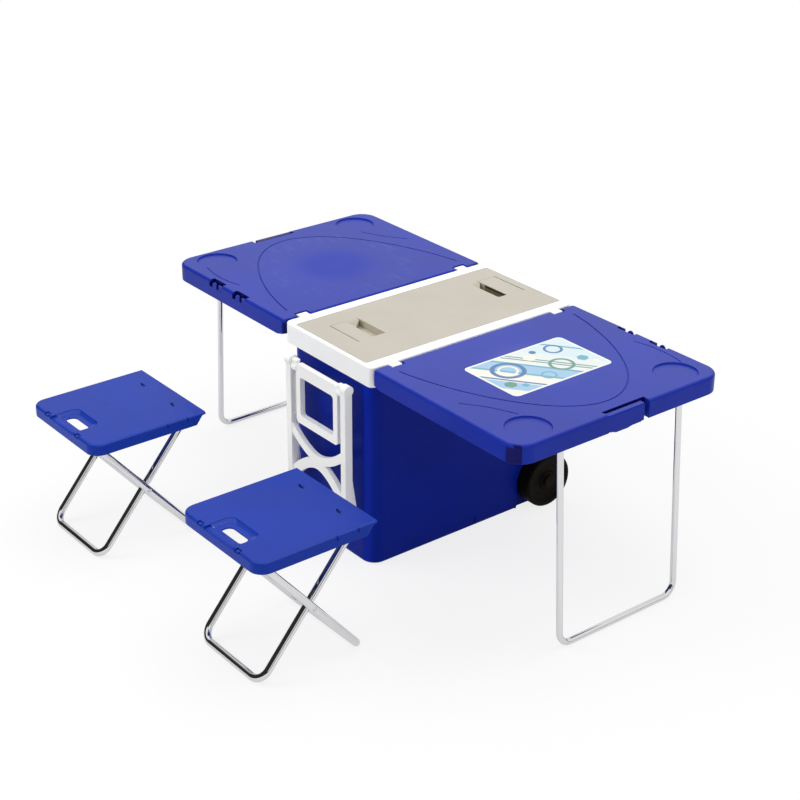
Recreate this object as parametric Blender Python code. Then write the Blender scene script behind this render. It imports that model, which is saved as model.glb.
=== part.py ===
# Folding cooler: a cool box on two wheels with a folding pull handle, two table leaves on
# chrome U legs that fold down at its sides, and two folding stools.
# Metres, +Z up. The origin is on the floor under the middle of the box, X runs along the table.
import math

import bmesh
import bpy
from mathutils import Matrix, Vector

MM = 0.001

# Table
TABLE_LENGTH = 1054 * MM
TABLE_DEPTH = 490 * MM
TABLE_HEIGHT = 420 * MM
LEAF_GAP = 11 * MM
LEAF_THICKNESS = 28 * MM
LEAF_PLATE = 4.4 * MM
LEAF_WALL = 3 * MM
LEAF_CORNER = 38 * MM
LEAF_INNER_CORNER = 9 * MM
LEAF_EDGE_ROUND = 6 * MM
HOLLOW_TOP_ROUND = 3 * MM
LEAST_INNER_CORNER = 2 * MM
CUP_RADIUS = 41 * MM
CUP_DEPTH = 3 * MM
CUP_FROM_END = 53 * MM
CUP_FROM_SIDE = 69 * MM
GROOVE_WIDTH = 2.6 * MM
GROOVE_DEPTH = 1 * MM
GROOVE_FROM_HINGE_SIDE = 23 * MM
GROOVE_FROM_END = 43 * MM
GROOVE_FROM_SIDE = 32 * MM
GROOVE_BOW = 1.42
TAIL_WIDTH = 2 * MM
TAIL_DEPTH = 0.6 * MM
TAIL_REACH = 138 * MM
TAIL_OUT = 35 * MM
TAIL_MEETS = {-1: 156, 1: 112}
TAIL_BOW = 9 * MM
TAIL_STEPS = 6
RIB_WALL = 2.4 * MM
RIB_HEIGHT = 9 * MM
RIB_PLACES = (-84 * MM, -28 * MM, 28 * MM, 84 * MM)
RIB_FROM_HINGE_SIDE = 45 * MM
RIB_FROM_END = 66 * MM
CROSS_RIB_PLACES = (120 * MM, 210 * MM)
CROSS_RIB_HALF = 118 * MM

# Latch tongue in a leaf's end wall, and the clips in one of its sides
TONGUE_NEAR_Y = -42 * MM
TONGUE_FAR_Y = 46 * MM
TONGUE_DROP = 3 * MM
TONGUE_DEPTH = 11 * MM
TONGUE_GAP = 4 * MM
TONGUE_SLOT = 12 * MM
TONGUE_BACK = 3 * MM
HOOK_DEPTH = 4 * MM
HOOK_DROP = 10 * MM
HOOK_STEP = 1.5 * MM
HOOK_ROOT = 6 * MM
CLIP_PLACES = (155 * MM, 237 * MM)
CLIP_LENGTH = 26 * MM
CLIP_DEPTH = 8.5 * MM
CLIP_HEIGHT = 13 * MM
CLIP_CORNER = 2.5 * MM
FINGER_WIDTH = 8 * MM
FINGER_DEPTH = 2.8 * MM
FINGER_DROP = 2 * MM

# Hinge between a leaf and the rim of the box
HINGE_OUT = 15 * MM
HINGE_DROP = 24 * MM
HINGE_FROM_SIDE = 49 * MM
LUG_LENGTH = 24 * MM
LUG_REACH = 11 * MM
LUG_CHAMFER = 2 * MM
LUG_OVERLAP = 1 * MM
KNUCKLE_RADIUS = 5 * MM
PIN_RADIUS = 2 * MM
NOTCH_LENGTH = 30 * MM
NOTCH_REACH = 16 * MM
EAR_WALL = 4 * MM
SOLE_CLEAR = 0.5 * MM

# U leg of a leaf
TUBE_RADIUS = 6 * MM
LEG_PIVOT_FROM_END = 9.2 * MM
LEG_PIVOT_DROP = 30 * MM
LEG_FROM_SIDE = 103 * MM
LEG_SPLAY = math.radians(3.5)
LEG_BEND = 26 * MM
LEG_PIN_RADIUS = 2.5 * MM
BRACKET_EAR = 3 * MM
BRACKET_LENGTH = 34 * MM
BRACKET_PLATE = 2.4 * MM
BRACKET_EYE = 5.4 * MM
BAR_ROOM = 4 * MM

# Box
BODY_WIDTH = 252 * MM
BODY_SET_IN = 7 * MM
BODY_CORNER = 30 * MM
BODY_BOTTOM_ROUND = 8 * MM
BODY_WALL = 3 * MM
RIM_HEIGHT = 40 * MM
RIM_CORNER = 12 * MM
RIM_EDGE_ROUND = 3 * MM
FOAM_SIDE = 25 * MM
FOAM_END = 9 * MM
LINER_CORNER = 14 * MM
LINER_WALL = 2.5 * MM
LINER_FLOOR_Z = 32 * MM
LINER_FLANGE = 7 * MM
FLANGE_THICKNESS = 2.2 * MM
LINER_FLOOR_ROUND = 8 * MM
HOLD_DEPTH = 1.6 * MM
HOLD_Y = (-30 * MM, 18 * MM)
HOLD_HEIGHT = 12 * MM
CATCH_Y = (3 * MM, 20 * MM)
CATCH_HEIGHT = 25 * MM
CATCH_ROUND = 6 * MM

# Lid
LID_MARGIN = 4 * MM
LID_CORNER = 5 * MM
LID_EDGE = 1 * MM
LID_PLATE = 3.6 * MM
LID_SKIRT = 9.2 * MM
LID_SKIRT_WALL = 4 * MM
LID_PLUG_DEPTH = 36 * MM
LID_PLUG_WALL = 2.5 * MM
LID_PLUG_ROUND = 4 * MM
POCKET_WIDTH = 90 * MM
POCKET_LENGTH = 64 * MM
POCKET_DEPTH = 2 * MM
POCKET_X = -20 * MM
POCKET_Y = (-158 * MM, 186 * MM)
WELL_LENGTH = (31 * MM, 20 * MM)
WELL_DEPTH = 14 * MM
WELL_WALL = 2 * MM
WELL_CORNER = 2.5 * MM
WELL_STEP = 1 * MM
POCKET_CORNER = 3 * MM

# Wheels
WHEEL_RADIUS = 56 * MM
WHEEL_WIDTH = 34 * MM
WHEEL_PROUD = 27.5 * MM
WHEEL_FROM_END = 50 * MM
ARCH_GAP = 4 * MM
AXLE_RADIUS = 4 * MM
AXLE_BOSS_RADIUS = 11 * MM
AXLE_BOSS_DEPTH = 12 * MM
HUB_CAP_RADIUS = 13 * MM
HUB_CAP_DEPTH = 5 * MM
HUB_CAP_ROUND = 2.5 * MM
HUB_RADIUS = 16 * MM
HUB_SET_IN = 2 * MM
HUB_DRAFT = 1 * MM
AXLE_SHORT = 1.5 * MM
DISH_DEPTH = 6 * MM
INNER_DISH_DEPTH = 8 * MM
TREAD_ROUND = 5 * MM
TREAD_DEPTH = 14 * MM

# Handle
ARM_STAND_OFF = 35 * MM
ARM_DEPTH = 16 * MM
ARM_FROM_SIDE = 33 * MM
ARM_RAIL = 14.5 * MM
ARM_TOP_DROP = 46 * MM
ARM_PIVOT_Z = 72 * MM
ARM_LEAN = 2.5 * MM
ARM_PIN_RADIUS = 3 * MM
ARM_EAR = 3 * MM
ARM_FOOT_HALF = 16 * MM
ARM_FOOT_NOSE = 7 * MM
ARM_FOOT_STEP = 4 * MM
CHANNEL_WIDTH = 9 * MM
CHANNEL_DEPTH = 3.5 * MM
CHANNEL_ROUND = 2.5 * MM
CHANNEL_FROM_TOP = 36 * MM
CHANNEL_LENGTH = 86 * MM
BRACE_WIDTH = 13 * MM
BRACE_DEPTH = 9 * MM
BRACE_SET_BACK = 2 * MM
BRACE_UPPER_DROP = 142 * MM
BRACE_LOWER_RISE = 50 * MM
BRACE_MIDDLE_RAISED = 7 * MM
BRACE_JOIN = 5 * MM
BRACE_BOW = 1.8
BRACE_STEPS = 7
GRIP_SIDE_GAP = 7.5 * MM
GRIP_HEIGHT = 122 * MM
GRIP_DROP = 8 * MM
GRIP_CORNER = 8 * MM
GRIP_STILE = 28 * MM
GRIP_WINDOW_DROP = 25 * MM
GRIP_WINDOW_HEIGHT = 77 * MM
GRIP_WINDOW_CORNER = 7 * MM
GRIP_DEPTH = 11 * MM
GRIP_SET_BACK = 3 * MM
GRIP_PIVOT_DROP = 11 * MM
GRIP_BOSS_RADIUS = 8 * MM
GRIP_PIN_RADIUS = 3 * MM
GRIP_PIN_COVER = 3 * MM
GRIP_PIN_SEAT = 11 * MM

# Stools
STOOL_PLACES = {"near": (225 * MM, -514 * MM), "far": (-300 * MM, -521 * MM)}
STOOL_HEIGHT = 258 * MM
SEAT_WIDTH = 240 * MM
SEAT_DEPTH = 243 * MM
SEAT_THICKNESS = 27 * MM
SEAT_PLATE = 4 * MM
SEAT_WALL = 3.2 * MM
SEAT_CORNER = 26 * MM
SEAT_EDGE_ROUND = 4 * MM
SEAT_LIP = 13 * MM
SEAT_REAR_CORNER = 2 * MM
FRAME_ANGLE = math.radians(50)
FRAME_PIVOT_Y = 96 * MM
FRONT_FRAME_HALF = 90 * MM
REAR_FRAME_HALF = 105 * MM
FRAME_BEND = 26 * MM
ROD_RADIUS = 3 * MM
ROD_DROP = 12 * MM
ROD_STAND_OUT = 1 * MM
RIVET_RADIUS = 2.5 * MM
RIVET_HEAD = 5 * MM
RIVET_HEAD_DEPTH = 1.6 * MM
SLOT_LENGTH = 76 * MM
SLOT_WIDTH = 24 * MM
SLOT_Y = -89 * MM
HOLLOW_HALF_WIDTH = 50 * MM
HOLLOW_BACK_Y = -62 * MM
HOLLOW_CORNER = 15 * MM
HOLLOW_DEPTH = 5.6 * MM
HOLLOW_FLOOR = 2.8 * MM
HOLLOW_SLOPE = 5 * MM
FRONT_BAR = 9 * MM
FRONT_BAR_DROP = 3 * MM
CLIP_MARK_X = 57 * MM
CLIP_MARK_WIDTH = 14 * MM
CLIP_MARK_DEPTH = 8 * MM
CLIP_MARK_DROP = 3 * MM
HOLE_X = 55.5 * MM
HOLE_Y = 88 * MM
HOLE_HALF_LENGTH = 5 * MM
HOLE_HALF_WIDTH = 3 * MM
EDGE_NOTCH_PLACES = (36 * MM, 80 * MM)
EDGE_NOTCH_WIDTH = 4 * MM
EDGE_NOTCH_DEPTH = 1.6 * MM
BEARING_HALF = 8 * MM
BEARING_RADIUS = 6 * MM
BEARING_WIDTH = 10 * MM
STOP_WIDTH = 24 * MM
STOP_WALL = 3 * MM

# Fits
SEAM = 0.3 * MM
RUNNING = 0.4 * MM
SIDE_PLAY = 0.7 * MM
FACET_PLAY = 0.8 * MM
PIN_SIDES = 8
WHEEL_SIDES = 20
LEAST_RADIUS = 0.6 * MM
BOTH = (-1, 1)

COLOURS = {
    "blue_plastic": ((0.012, 0.022, 0.30), 0.35, 0.0),
    "white_plastic": ((0.82, 0.82, 0.80), 0.35, 0.0),
    "lid_plastic": ((0.62, 0.56, 0.49), 0.45, 0.0),
    "foam": ((0.85, 0.82, 0.65), 0.9, 0.0),
    "chrome": ((0.80, 0.80, 0.82), 0.08, 1.0),
    "steel": ((0.55, 0.55, 0.57), 0.3, 1.0),
    "black_plastic": ((0.012, 0.012, 0.013), 0.5, 0.0),
}


def clear_scene():
    for obj in list(bpy.data.objects):
        bpy.data.objects.remove(obj, do_unlink=True)


def material_of(name, finish):
    colour, roughness, metallic = COLOURS[finish]
    material = bpy.data.materials.new(name)
    material.use_nodes = True
    shader = material.node_tree.nodes["Principled BSDF"]
    shader.inputs["Base Color"].default_value = (*colour, 1.0)
    shader.inputs["Roughness"].default_value = roughness
    shader.inputs["Metallic"].default_value = metallic
    return material


def pivot(name, at, parent=None):
    """An empty on a joint axis. Its place is kept in its frame's coordinates."""
    empty = bpy.data.objects.new(name, None)
    bpy.context.scene.collection.objects.link(empty)
    empty.location = at
    empty["at"] = at
    if parent is not None:
        hang(empty, parent)
    return empty


def hang(obj, parent):
    obj.parent = parent
    obj.matrix_parent_inverse = Matrix.Translation(-Vector(parent["at"]))


def solid(name, bm, parent, finish=None):
    """A mesh object: a named piece with its material or, with no finish, a hidden tool."""
    bmesh.ops.recalc_face_normals(bm, faces=bm.faces)
    mesh = bpy.data.meshes.new(name)
    bm.to_mesh(mesh)
    bm.free()
    obj = bpy.data.objects.new(name, mesh)
    bpy.context.scene.collection.objects.link(obj)
    hang(obj, parent)
    if finish is None:
        obj.hide_render = True
        obj.display_type = "WIRE"
    else:
        mesh.materials.append(material_of(name, finish))
        mesh.shade_smooth()
        mesh.set_sharp_from_angle(angle=math.radians(32))
    return obj


def shape(obj, bm, operation):
    """Cuts or joins a shape with a Boolean that stays on the object."""
    tool = solid(f"{obj.name}_{operation.lower()}_{len(obj.modifiers)}", bm, obj.parent)
    modifier = obj.modifiers.new(tool.name, "BOOLEAN")
    modifier.operation = operation
    modifier.solver = "EXACT"
    modifier.object = tool


def cut(obj, bm):
    shape(obj, bm, "DIFFERENCE")


def join(obj, bm):
    shape(obj, bm, "UNION")


def arc(centre, radius, start, end, steps):
    """Points of an arc in degrees, both ends included."""
    angles = [math.radians(start + (end - start) * i / steps) for i in range(steps + 1)]
    return [(centre[0] + radius * math.cos(a), centre[1] + radius * math.sin(a)) for a in angles]


def round_box(x0, x1, y0, y1, radii, steps=4):
    """Outline of a box with a radius for each corner: x0y0, x1y0, x1y1, x0y1."""
    if not isinstance(radii, (tuple, list)):
        radii = (radii,) * 4
    corners = ((x0, y0, 1, 1, 180), (x1, y0, -1, 1, 270), (x1, y1, -1, -1, 0), (x0, y1, 1, -1, 90))
    points = []
    for (x, y, inward_x, inward_y, start), radius in zip(corners, radii):
        centre = (x + inward_x * radius, y + inward_y * radius)
        points += arc(centre, radius, start, start + 90, steps)
    return points


def loft(sections, along="Z"):
    """Closed solid through outlines of equal count, each at its place along an axis."""
    place = {
        "X": lambda u, v, w: (w, u, v),
        "Y": lambda u, v, w: (u, w, v),
        "Z": lambda u, v, w: (u, v, w),
    }[along]
    bm = bmesh.new()
    rings = [[bm.verts.new(place(u, v, w)) for u, v in outline] for outline, w in sections]
    for low, high in zip(rings, rings[1:]):
        for i in range(len(low)):
            j = (i + 1) % len(low)
            bm.faces.new((low[i], low[j], high[j], high[i]))
    bm.faces.new(rings[0])
    bm.faces.new(rings[-1])
    return bm


def prism(outline, low, high, along="Z"):
    return loft([(outline, low), (outline, high)], along)


def box(x0, x1, y0, y1, z0, z1):
    return prism([(x0, y0), (x1, y0), (x1, y1), (x0, y1)], z0, z1)


def rod(centre, radius, low, high, along, steps=16):
    """Straight round bar. The centre is given in the two axes across it."""
    return prism(arc(centre, radius, 0, 360 * (steps - 1) / steps, steps - 1), low, high, along)


def bore(centre, radius, gap, low, high, along):
    """Hole whose flats clear a round pin by the gap."""
    return rod(centre, (radius + gap) / math.cos(math.pi / PIN_SIDES), low, high, along, PIN_SIDES)


def rounded_block(x0, x1, y0, y1, radii, z0, z1, bottom=0.0, top=0.0, steps=2, sides=4):
    """Upright block whose bottom and top edges are rounded over."""
    sections = []
    for i in range(steps + 1 if bottom else 1):
        turn = math.radians(90 * i / steps) if bottom else 0.0
        sections.append((bottom - bottom * math.sin(turn), z0 + bottom - bottom * math.cos(turn)))
    for i in range(steps + 1 if top else 1):
        turn = math.radians(90 * i / steps) if top else 0.0
        sections.append((top - top * math.cos(turn), z1 - top + top * math.sin(turn)))
    if not isinstance(radii, (tuple, list)):
        radii = (radii,) * 4
    rings = []
    for inset, z in sections:
        corner = [max(radius - inset, LEAST_RADIUS) for radius in radii]
        rings.append((round_box(x0 + inset, x1 - inset, y0 + inset, y1 - inset, corner, sides), z))
    return loft(rings)


def bent(corners, radius, steps=3):
    """Route through corner points, with an arc of the radius at each inner corner."""
    corners = [Vector(point) for point in corners]
    route = [corners[0]]
    for before, corner, after in zip(corners, corners[1:], corners[2:]):
        back = (before - corner).normalized()
        ahead = (after - corner).normalized()
        half = back.angle(ahead) / 2
        centre = corner + (back + ahead).normalized() * (radius / math.sin(half))
        start = corner + back * (radius / math.tan(half))
        axis = back.cross(ahead).normalized()
        sweep = -(math.pi - 2 * half)
        for i in range(steps + 1):
            turned = Matrix.Rotation(sweep * i / steps, 3, axis) @ (start - centre)
            route.append(centre + turned)
    route.append(corners[-1])
    return route


def tube(route, radius, across, sides=10, cap_steps=2):
    """Bent round bar whose ends are half balls about the route's end points.
    The route lies in a plane square to across."""
    across = Vector(across).normalized()
    rings = []
    last = len(route) - 1
    for i, point in enumerate(route):
        ahead = (route[min(i + 1, last)] - route[max(i - 1, 0)]).normalized()
        if 0 < i < last:
            before = (route[i] - route[i - 1]).normalized()
            after = (route[i + 1] - route[i]).normalized()
            ahead = (before + after).normalized()
        rings.append((Vector(point), ahead, radius))
    caps = [math.radians(90 * k / cap_steps) for k in range(1, cap_steps)]
    first_point, first_ahead, _ = rings[0]
    last_point, last_ahead, _ = rings[-1]
    start = [
        (first_point - first_ahead * radius * math.sin(a), first_ahead, radius * math.cos(a))
        for a in reversed(caps)
    ]
    end = [(last_point + last_ahead * radius * math.sin(a), last_ahead, radius * math.cos(a)) for a in caps]
    rings = start + rings + end
    bm = bmesh.new()
    loops = []
    for point, ahead, size in rings:
        side = ahead.cross(across).normalized()
        loops.append(
            [
                bm.verts.new(
                    point
                    + size * math.cos(2 * math.pi * k / sides) * across
                    + size * math.sin(2 * math.pi * k / sides) * side
                )
                for k in range(sides)
            ]
        )
    for low, high in zip(loops, loops[1:]):
        for i in range(sides):
            j = (i + 1) % sides
            bm.faces.new((low[i], low[j], high[j], high[i]))
    poles = ((loops[0], first_point - first_ahead * radius), (loops[-1], last_point + last_ahead * radius))
    for loop, tip in poles:
        pole = bm.verts.new(tip)
        for i in range(sides):
            bm.faces.new((loop[i], loop[(i + 1) % sides], pole))
    return bm


def turned(profile, centre, steps, along="X"):
    """Ring turned about an axis through the centre, from a closed profile of (place, radius)."""
    bm = bmesh.new()
    rings = []
    for k in range(steps):
        angle = 2 * math.pi * k / steps
        c = math.cos(angle)
        s = math.sin(angle)
        rings.append([bm.verts.new((w, centre[0] + r * c, centre[1] + r * s)) for w, r in profile])
    count = len(profile)
    for k in range(steps):
        low = rings[k]
        high = rings[(k + 1) % steps]
        for i in range(count):
            j = (i + 1) % count
            bm.faces.new((low[i], low[j], high[j], high[i]))
    return bm


def band(line, width):
    """Outline of a strip of even width along a line of points in a plane."""
    left = []
    right = []
    last = len(line) - 1
    for i, point in enumerate(line):
        ahead = Vector(line[min(i + 1, last)]) - Vector(line[max(i - 1, 0)])
        ahead.normalize()
        normal = Vector((-ahead.y, ahead.x)) * width / 2
        left.append((point[0] + normal.x, point[1] + normal.y))
        right.append((point[0] - normal.x, point[1] - normal.y))
    return left + right[::-1]


# Places that several pieces share
TABLE_TOP = TABLE_HEIGHT
CUT_PAST = 1 * MM
LEAF_BOTTOM = TABLE_HEIGHT - LEAF_THICKNESS
LEAF_END = TABLE_LENGTH / 2
LEAF_SIDE = TABLE_DEPTH / 2
PLATE_BOTTOM = TABLE_HEIGHT - LEAF_PLATE
RIB_ROOT = PLATE_BOTTOM + LEAF_PLATE / 3
RIM_X = BODY_WIDTH / 2
RIM_Y = TABLE_DEPTH / 2
RIM_BOTTOM = TABLE_HEIGHT - RIM_HEIGHT
LEAF_INNER_EDGE = RIM_X + LEAF_GAP
HINGE_X = RIM_X + HINGE_OUT
HINGE_Y = LEAF_SIDE - HINGE_FROM_SIDE
HINGE_Z = TABLE_HEIGHT - HINGE_DROP
BODY_TOP = RIM_BOTTOM - SEAM
BODY_X = BODY_WIDTH / 2
BODY_Y = RIM_Y - BODY_SET_IN
LINER_X = BODY_X - BODY_WALL - FOAM_SIDE
LINER_Y = BODY_Y - BODY_WALL - FOAM_END
LID_X = LINER_X + LINER_FLANGE + LID_MARGIN
LID_Y = LINER_Y + LINER_FLANGE + LID_MARGIN
LEDGE_Z = TABLE_HEIGHT - LID_SKIRT - FLANGE_THICKNESS - 2 * SEAM
LEG_PIVOT_X = LEAF_END - LEG_PIVOT_FROM_END
LEG_PIVOT_Z = TABLE_HEIGHT - LEG_PIVOT_DROP
LEG_HALF_WIDTH = LEAF_SIDE - LEG_FROM_SIDE
WHEEL_OUTER_X = BODY_X + WHEEL_PROUD
WHEEL_Y = BODY_Y - WHEEL_FROM_END
ARM_FRONT_Y = -BODY_Y - ARM_STAND_OFF
ARM_OUTER_X = BODY_X - ARM_FROM_SIDE
ARM_TOP_Z = TABLE_HEIGHT - ARM_TOP_DROP
ARM_MIDDLE_Y = ARM_FRONT_Y + ARM_DEPTH / 2
ARM_PIVOT_Y = ARM_MIDDLE_Y - ARM_LEAN
GRIP_FRONT_Y = ARM_FRONT_Y + GRIP_SET_BACK
GRIP_PIVOT_Y = GRIP_FRONT_Y + GRIP_DEPTH / 2
GRIP_HALF_WIDTH = ARM_OUTER_X - ARM_RAIL - GRIP_SIDE_GAP
GRIP_WINDOW_HALF = GRIP_HALF_WIDTH - GRIP_STILE
GRIP_TOP_Z = ARM_TOP_Z - GRIP_DROP
GRIP_BOTTOM_Z = GRIP_TOP_Z - GRIP_HEIGHT
GRIP_PIVOT_Z = GRIP_TOP_Z - GRIP_PIVOT_DROP
GRIP_WINDOW_TOP = GRIP_TOP_Z - GRIP_WINDOW_DROP
BRACE_UPPER_ENDS_Z = ARM_TOP_Z - BRACE_UPPER_DROP
BRACE_LOWER_ENDS_Z = ARM_PIVOT_Z + BRACE_LOWER_RISE
BRACE_MIDDLE_Z = (BRACE_UPPER_ENDS_Z + BRACE_LOWER_ENDS_Z) / 2 + BRACE_MIDDLE_RAISED
ARCH_WALL_X = WHEEL_OUTER_X - WHEEL_WIDTH - ARCH_GAP


def box_shell(root):
    """Outer shell of the box: open at the top, with a wheel arch in each rear corner."""
    shell = solid(
        "box_shell",
        rounded_block(
            -BODY_X, BODY_X, -BODY_Y, BODY_Y, BODY_CORNER, 0, BODY_TOP, bottom=BODY_BOTTOM_ROUND
        ),
        root,
        "blue_plastic",
    )
    wall = BODY_WALL
    cut(
        shell,
        rounded_block(
            -BODY_X + wall,
            BODY_X - wall,
            -BODY_Y + wall,
            BODY_Y - wall,
            BODY_CORNER - wall,
            wall,
            BODY_TOP + RIM_HEIGHT,
            bottom=BODY_BOTTOM_ROUND - wall,
        ),
    )
    for side in BOTH:
        join(shell, arch(side, ARCH_WALL_X - wall, BODY_X - wall / 2, WHEEL_RADIUS + ARCH_GAP + wall))
        centre = (WHEEL_Y, WHEEL_RADIUS)
        low, high = sorted((side * (ARCH_WALL_X - AXLE_BOSS_DEPTH), side * (ARCH_WALL_X - wall / 2)))
        join(shell, rod(centre, AXLE_BOSS_RADIUS, low, high, "X"))
        cut(shell, arch(side, ARCH_WALL_X, BODY_X + wall, WHEEL_RADIUS + ARCH_GAP, past=WHEEL_RADIUS))
        low, high = sorted((side * (ARCH_WALL_X - AXLE_BOSS_DEPTH + wall), side * (ARCH_WALL_X + wall)))
        cut(shell, bore(centre, AXLE_RADIUS, SEAM, low, high, "X"))
        # Finger hold in each long side's bottom edge, with the catch for the leaf's latch over it
        low, high = sorted((side * (BODY_X - HOLD_DEPTH), side * (BODY_X + wall)))
        cut(shell, box(low, high, HOLD_Y[0], HOLD_Y[1], -wall, HOLD_HEIGHT))
        catch = round_box(CATCH_Y[0], CATCH_Y[1], HOLD_HEIGHT - CATCH_ROUND, CATCH_HEIGHT, CATCH_ROUND, 3)
        cut(shell, prism(catch, low, high, "X"))


def arch(side, inner_x, outer_x, radius, past=0.0):
    """Room round a wheel: a half circle over the axle, carried down and out to the body's corner."""
    rear = BODY_Y - BODY_WALL / 2 + past
    low = BODY_WALL / 2 - past
    centre = (WHEEL_Y, WHEEL_RADIUS)
    rise = math.degrees(math.acos(min(1.0, (rear - WHEEL_Y) / radius)))
    top = arc(centre, radius, rise, 180, 9)
    outline = [(rear, low)] + top + [(WHEEL_Y - radius, low)]
    low, high = sorted((side * inner_x, side * outer_x))
    return prism(outline, low, high, "X")


def box_insides(root):
    """Foam between the shell and the white liner, and the liner with its flange."""
    gap = BODY_WALL + SEAM
    foam = solid(
        "box_foam",
        rounded_block(
            -BODY_X + gap,
            BODY_X - gap,
            -BODY_Y + gap,
            BODY_Y - gap,
            BODY_CORNER - gap,
            gap,
            BODY_TOP,
            bottom=BODY_BOTTOM_ROUND - BODY_WALL,
        ),
        root,
        "foam",
    )
    clear = WHEEL_RADIUS + ARCH_GAP + gap + FACET_PLAY
    for side in BOTH:
        cut(foam, arch(side, ARCH_WALL_X - gap - SEAM, BODY_X, clear, past=WHEEL_RADIUS))
        low, high = sorted((side * (ARCH_WALL_X - AXLE_BOSS_DEPTH - SEAM), side * BODY_X))
        cut(foam, rod((WHEEL_Y, WHEEL_RADIUS), AXLE_BOSS_RADIUS + SEAM, low, high, "X"))
    x = LINER_X
    y = LINER_Y
    cut(
        foam,
        rounded_block(
            -x - SEAM,
            x + SEAM,
            -y - SEAM,
            y + SEAM,
            LINER_CORNER + SEAM,
            LINER_FLOOR_Z - LINER_WALL - SEAM,
            BODY_TOP + RIM_HEIGHT,
        ),
    )
    top = LEDGE_Z + SEAM + FLANGE_THICKNESS
    liner = solid(
        "box_liner",
        rounded_block(-x, x, -y, y, LINER_CORNER, LINER_FLOOR_Z - LINER_WALL, top - FLANGE_THICKNESS / 2),
        root,
        "white_plastic",
    )
    lip_x = x + LINER_FLANGE
    lip_y = y + LINER_FLANGE
    lip = rounded_block(-lip_x, lip_x, -lip_y, lip_y, LINER_CORNER, top - FLANGE_THICKNESS, top)
    join(liner, lip)
    wall = LINER_WALL
    cut(
        liner,
        rounded_block(
            -x + wall,
            x - wall,
            -y + wall,
            y - wall,
            LINER_CORNER - wall,
            LINER_FLOOR_Z,
            top + wall,
            bottom=LINER_FLOOR_ROUND,
        ),
    )


def rim(root):
    """White rim on top of the box, with the four lugs that carry the leaves."""
    piece = solid(
        "box_rim",
        rounded_block(
            -RIM_X, RIM_X, -RIM_Y, RIM_Y, RIM_CORNER, RIM_BOTTOM, TABLE_TOP, top=RIM_EDGE_ROUND
        ),
        root,
        "white_plastic",
    )
    for side in BOTH:
        for end in BOTH:
            root_x = RIM_X - RIM_EDGE_ROUND - LUG_OVERLAP
            lug = [
                (root_x, HINGE_Z - KNUCKLE_RADIUS),
                *arc((HINGE_X, HINGE_Z), KNUCKLE_RADIUS + LUG_OVERLAP, -90, 0, 3),
                (HINGE_X + LUG_REACH, TABLE_TOP - 2 * LUG_CHAMFER),
                (HINGE_X + LUG_REACH - LUG_CHAMFER, TABLE_TOP - SEAM),
                (root_x, TABLE_TOP - SEAM),
            ]
            middle = end * HINGE_Y
            outline = [(side * x, z) for x, z in lug]
            join(piece, prism(outline, middle - LUG_LENGTH / 2, middle + LUG_LENGTH / 2, "Y"))
            axis = (side * HINGE_X, HINGE_Z)
            cut(piece, bore(axis, PIN_RADIUS, SEAM, middle - LUG_LENGTH, middle + LUG_LENGTH, "Y"))
    fit = LID_CORNER + SIDE_PLAY
    x = LID_X + SIDE_PLAY
    y = LID_Y + SIDE_PLAY
    cut(piece, rounded_block(-x, x, -y, y, fit, LEDGE_Z, TABLE_TOP + RIM_HEIGHT))
    x = LINER_X + SEAM
    y = LINER_Y + SEAM
    cut(piece, rounded_block(-x, x, -y, y, LINER_CORNER + SEAM, RIM_BOTTOM - RIM_HEIGHT, TABLE_TOP))


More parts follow.
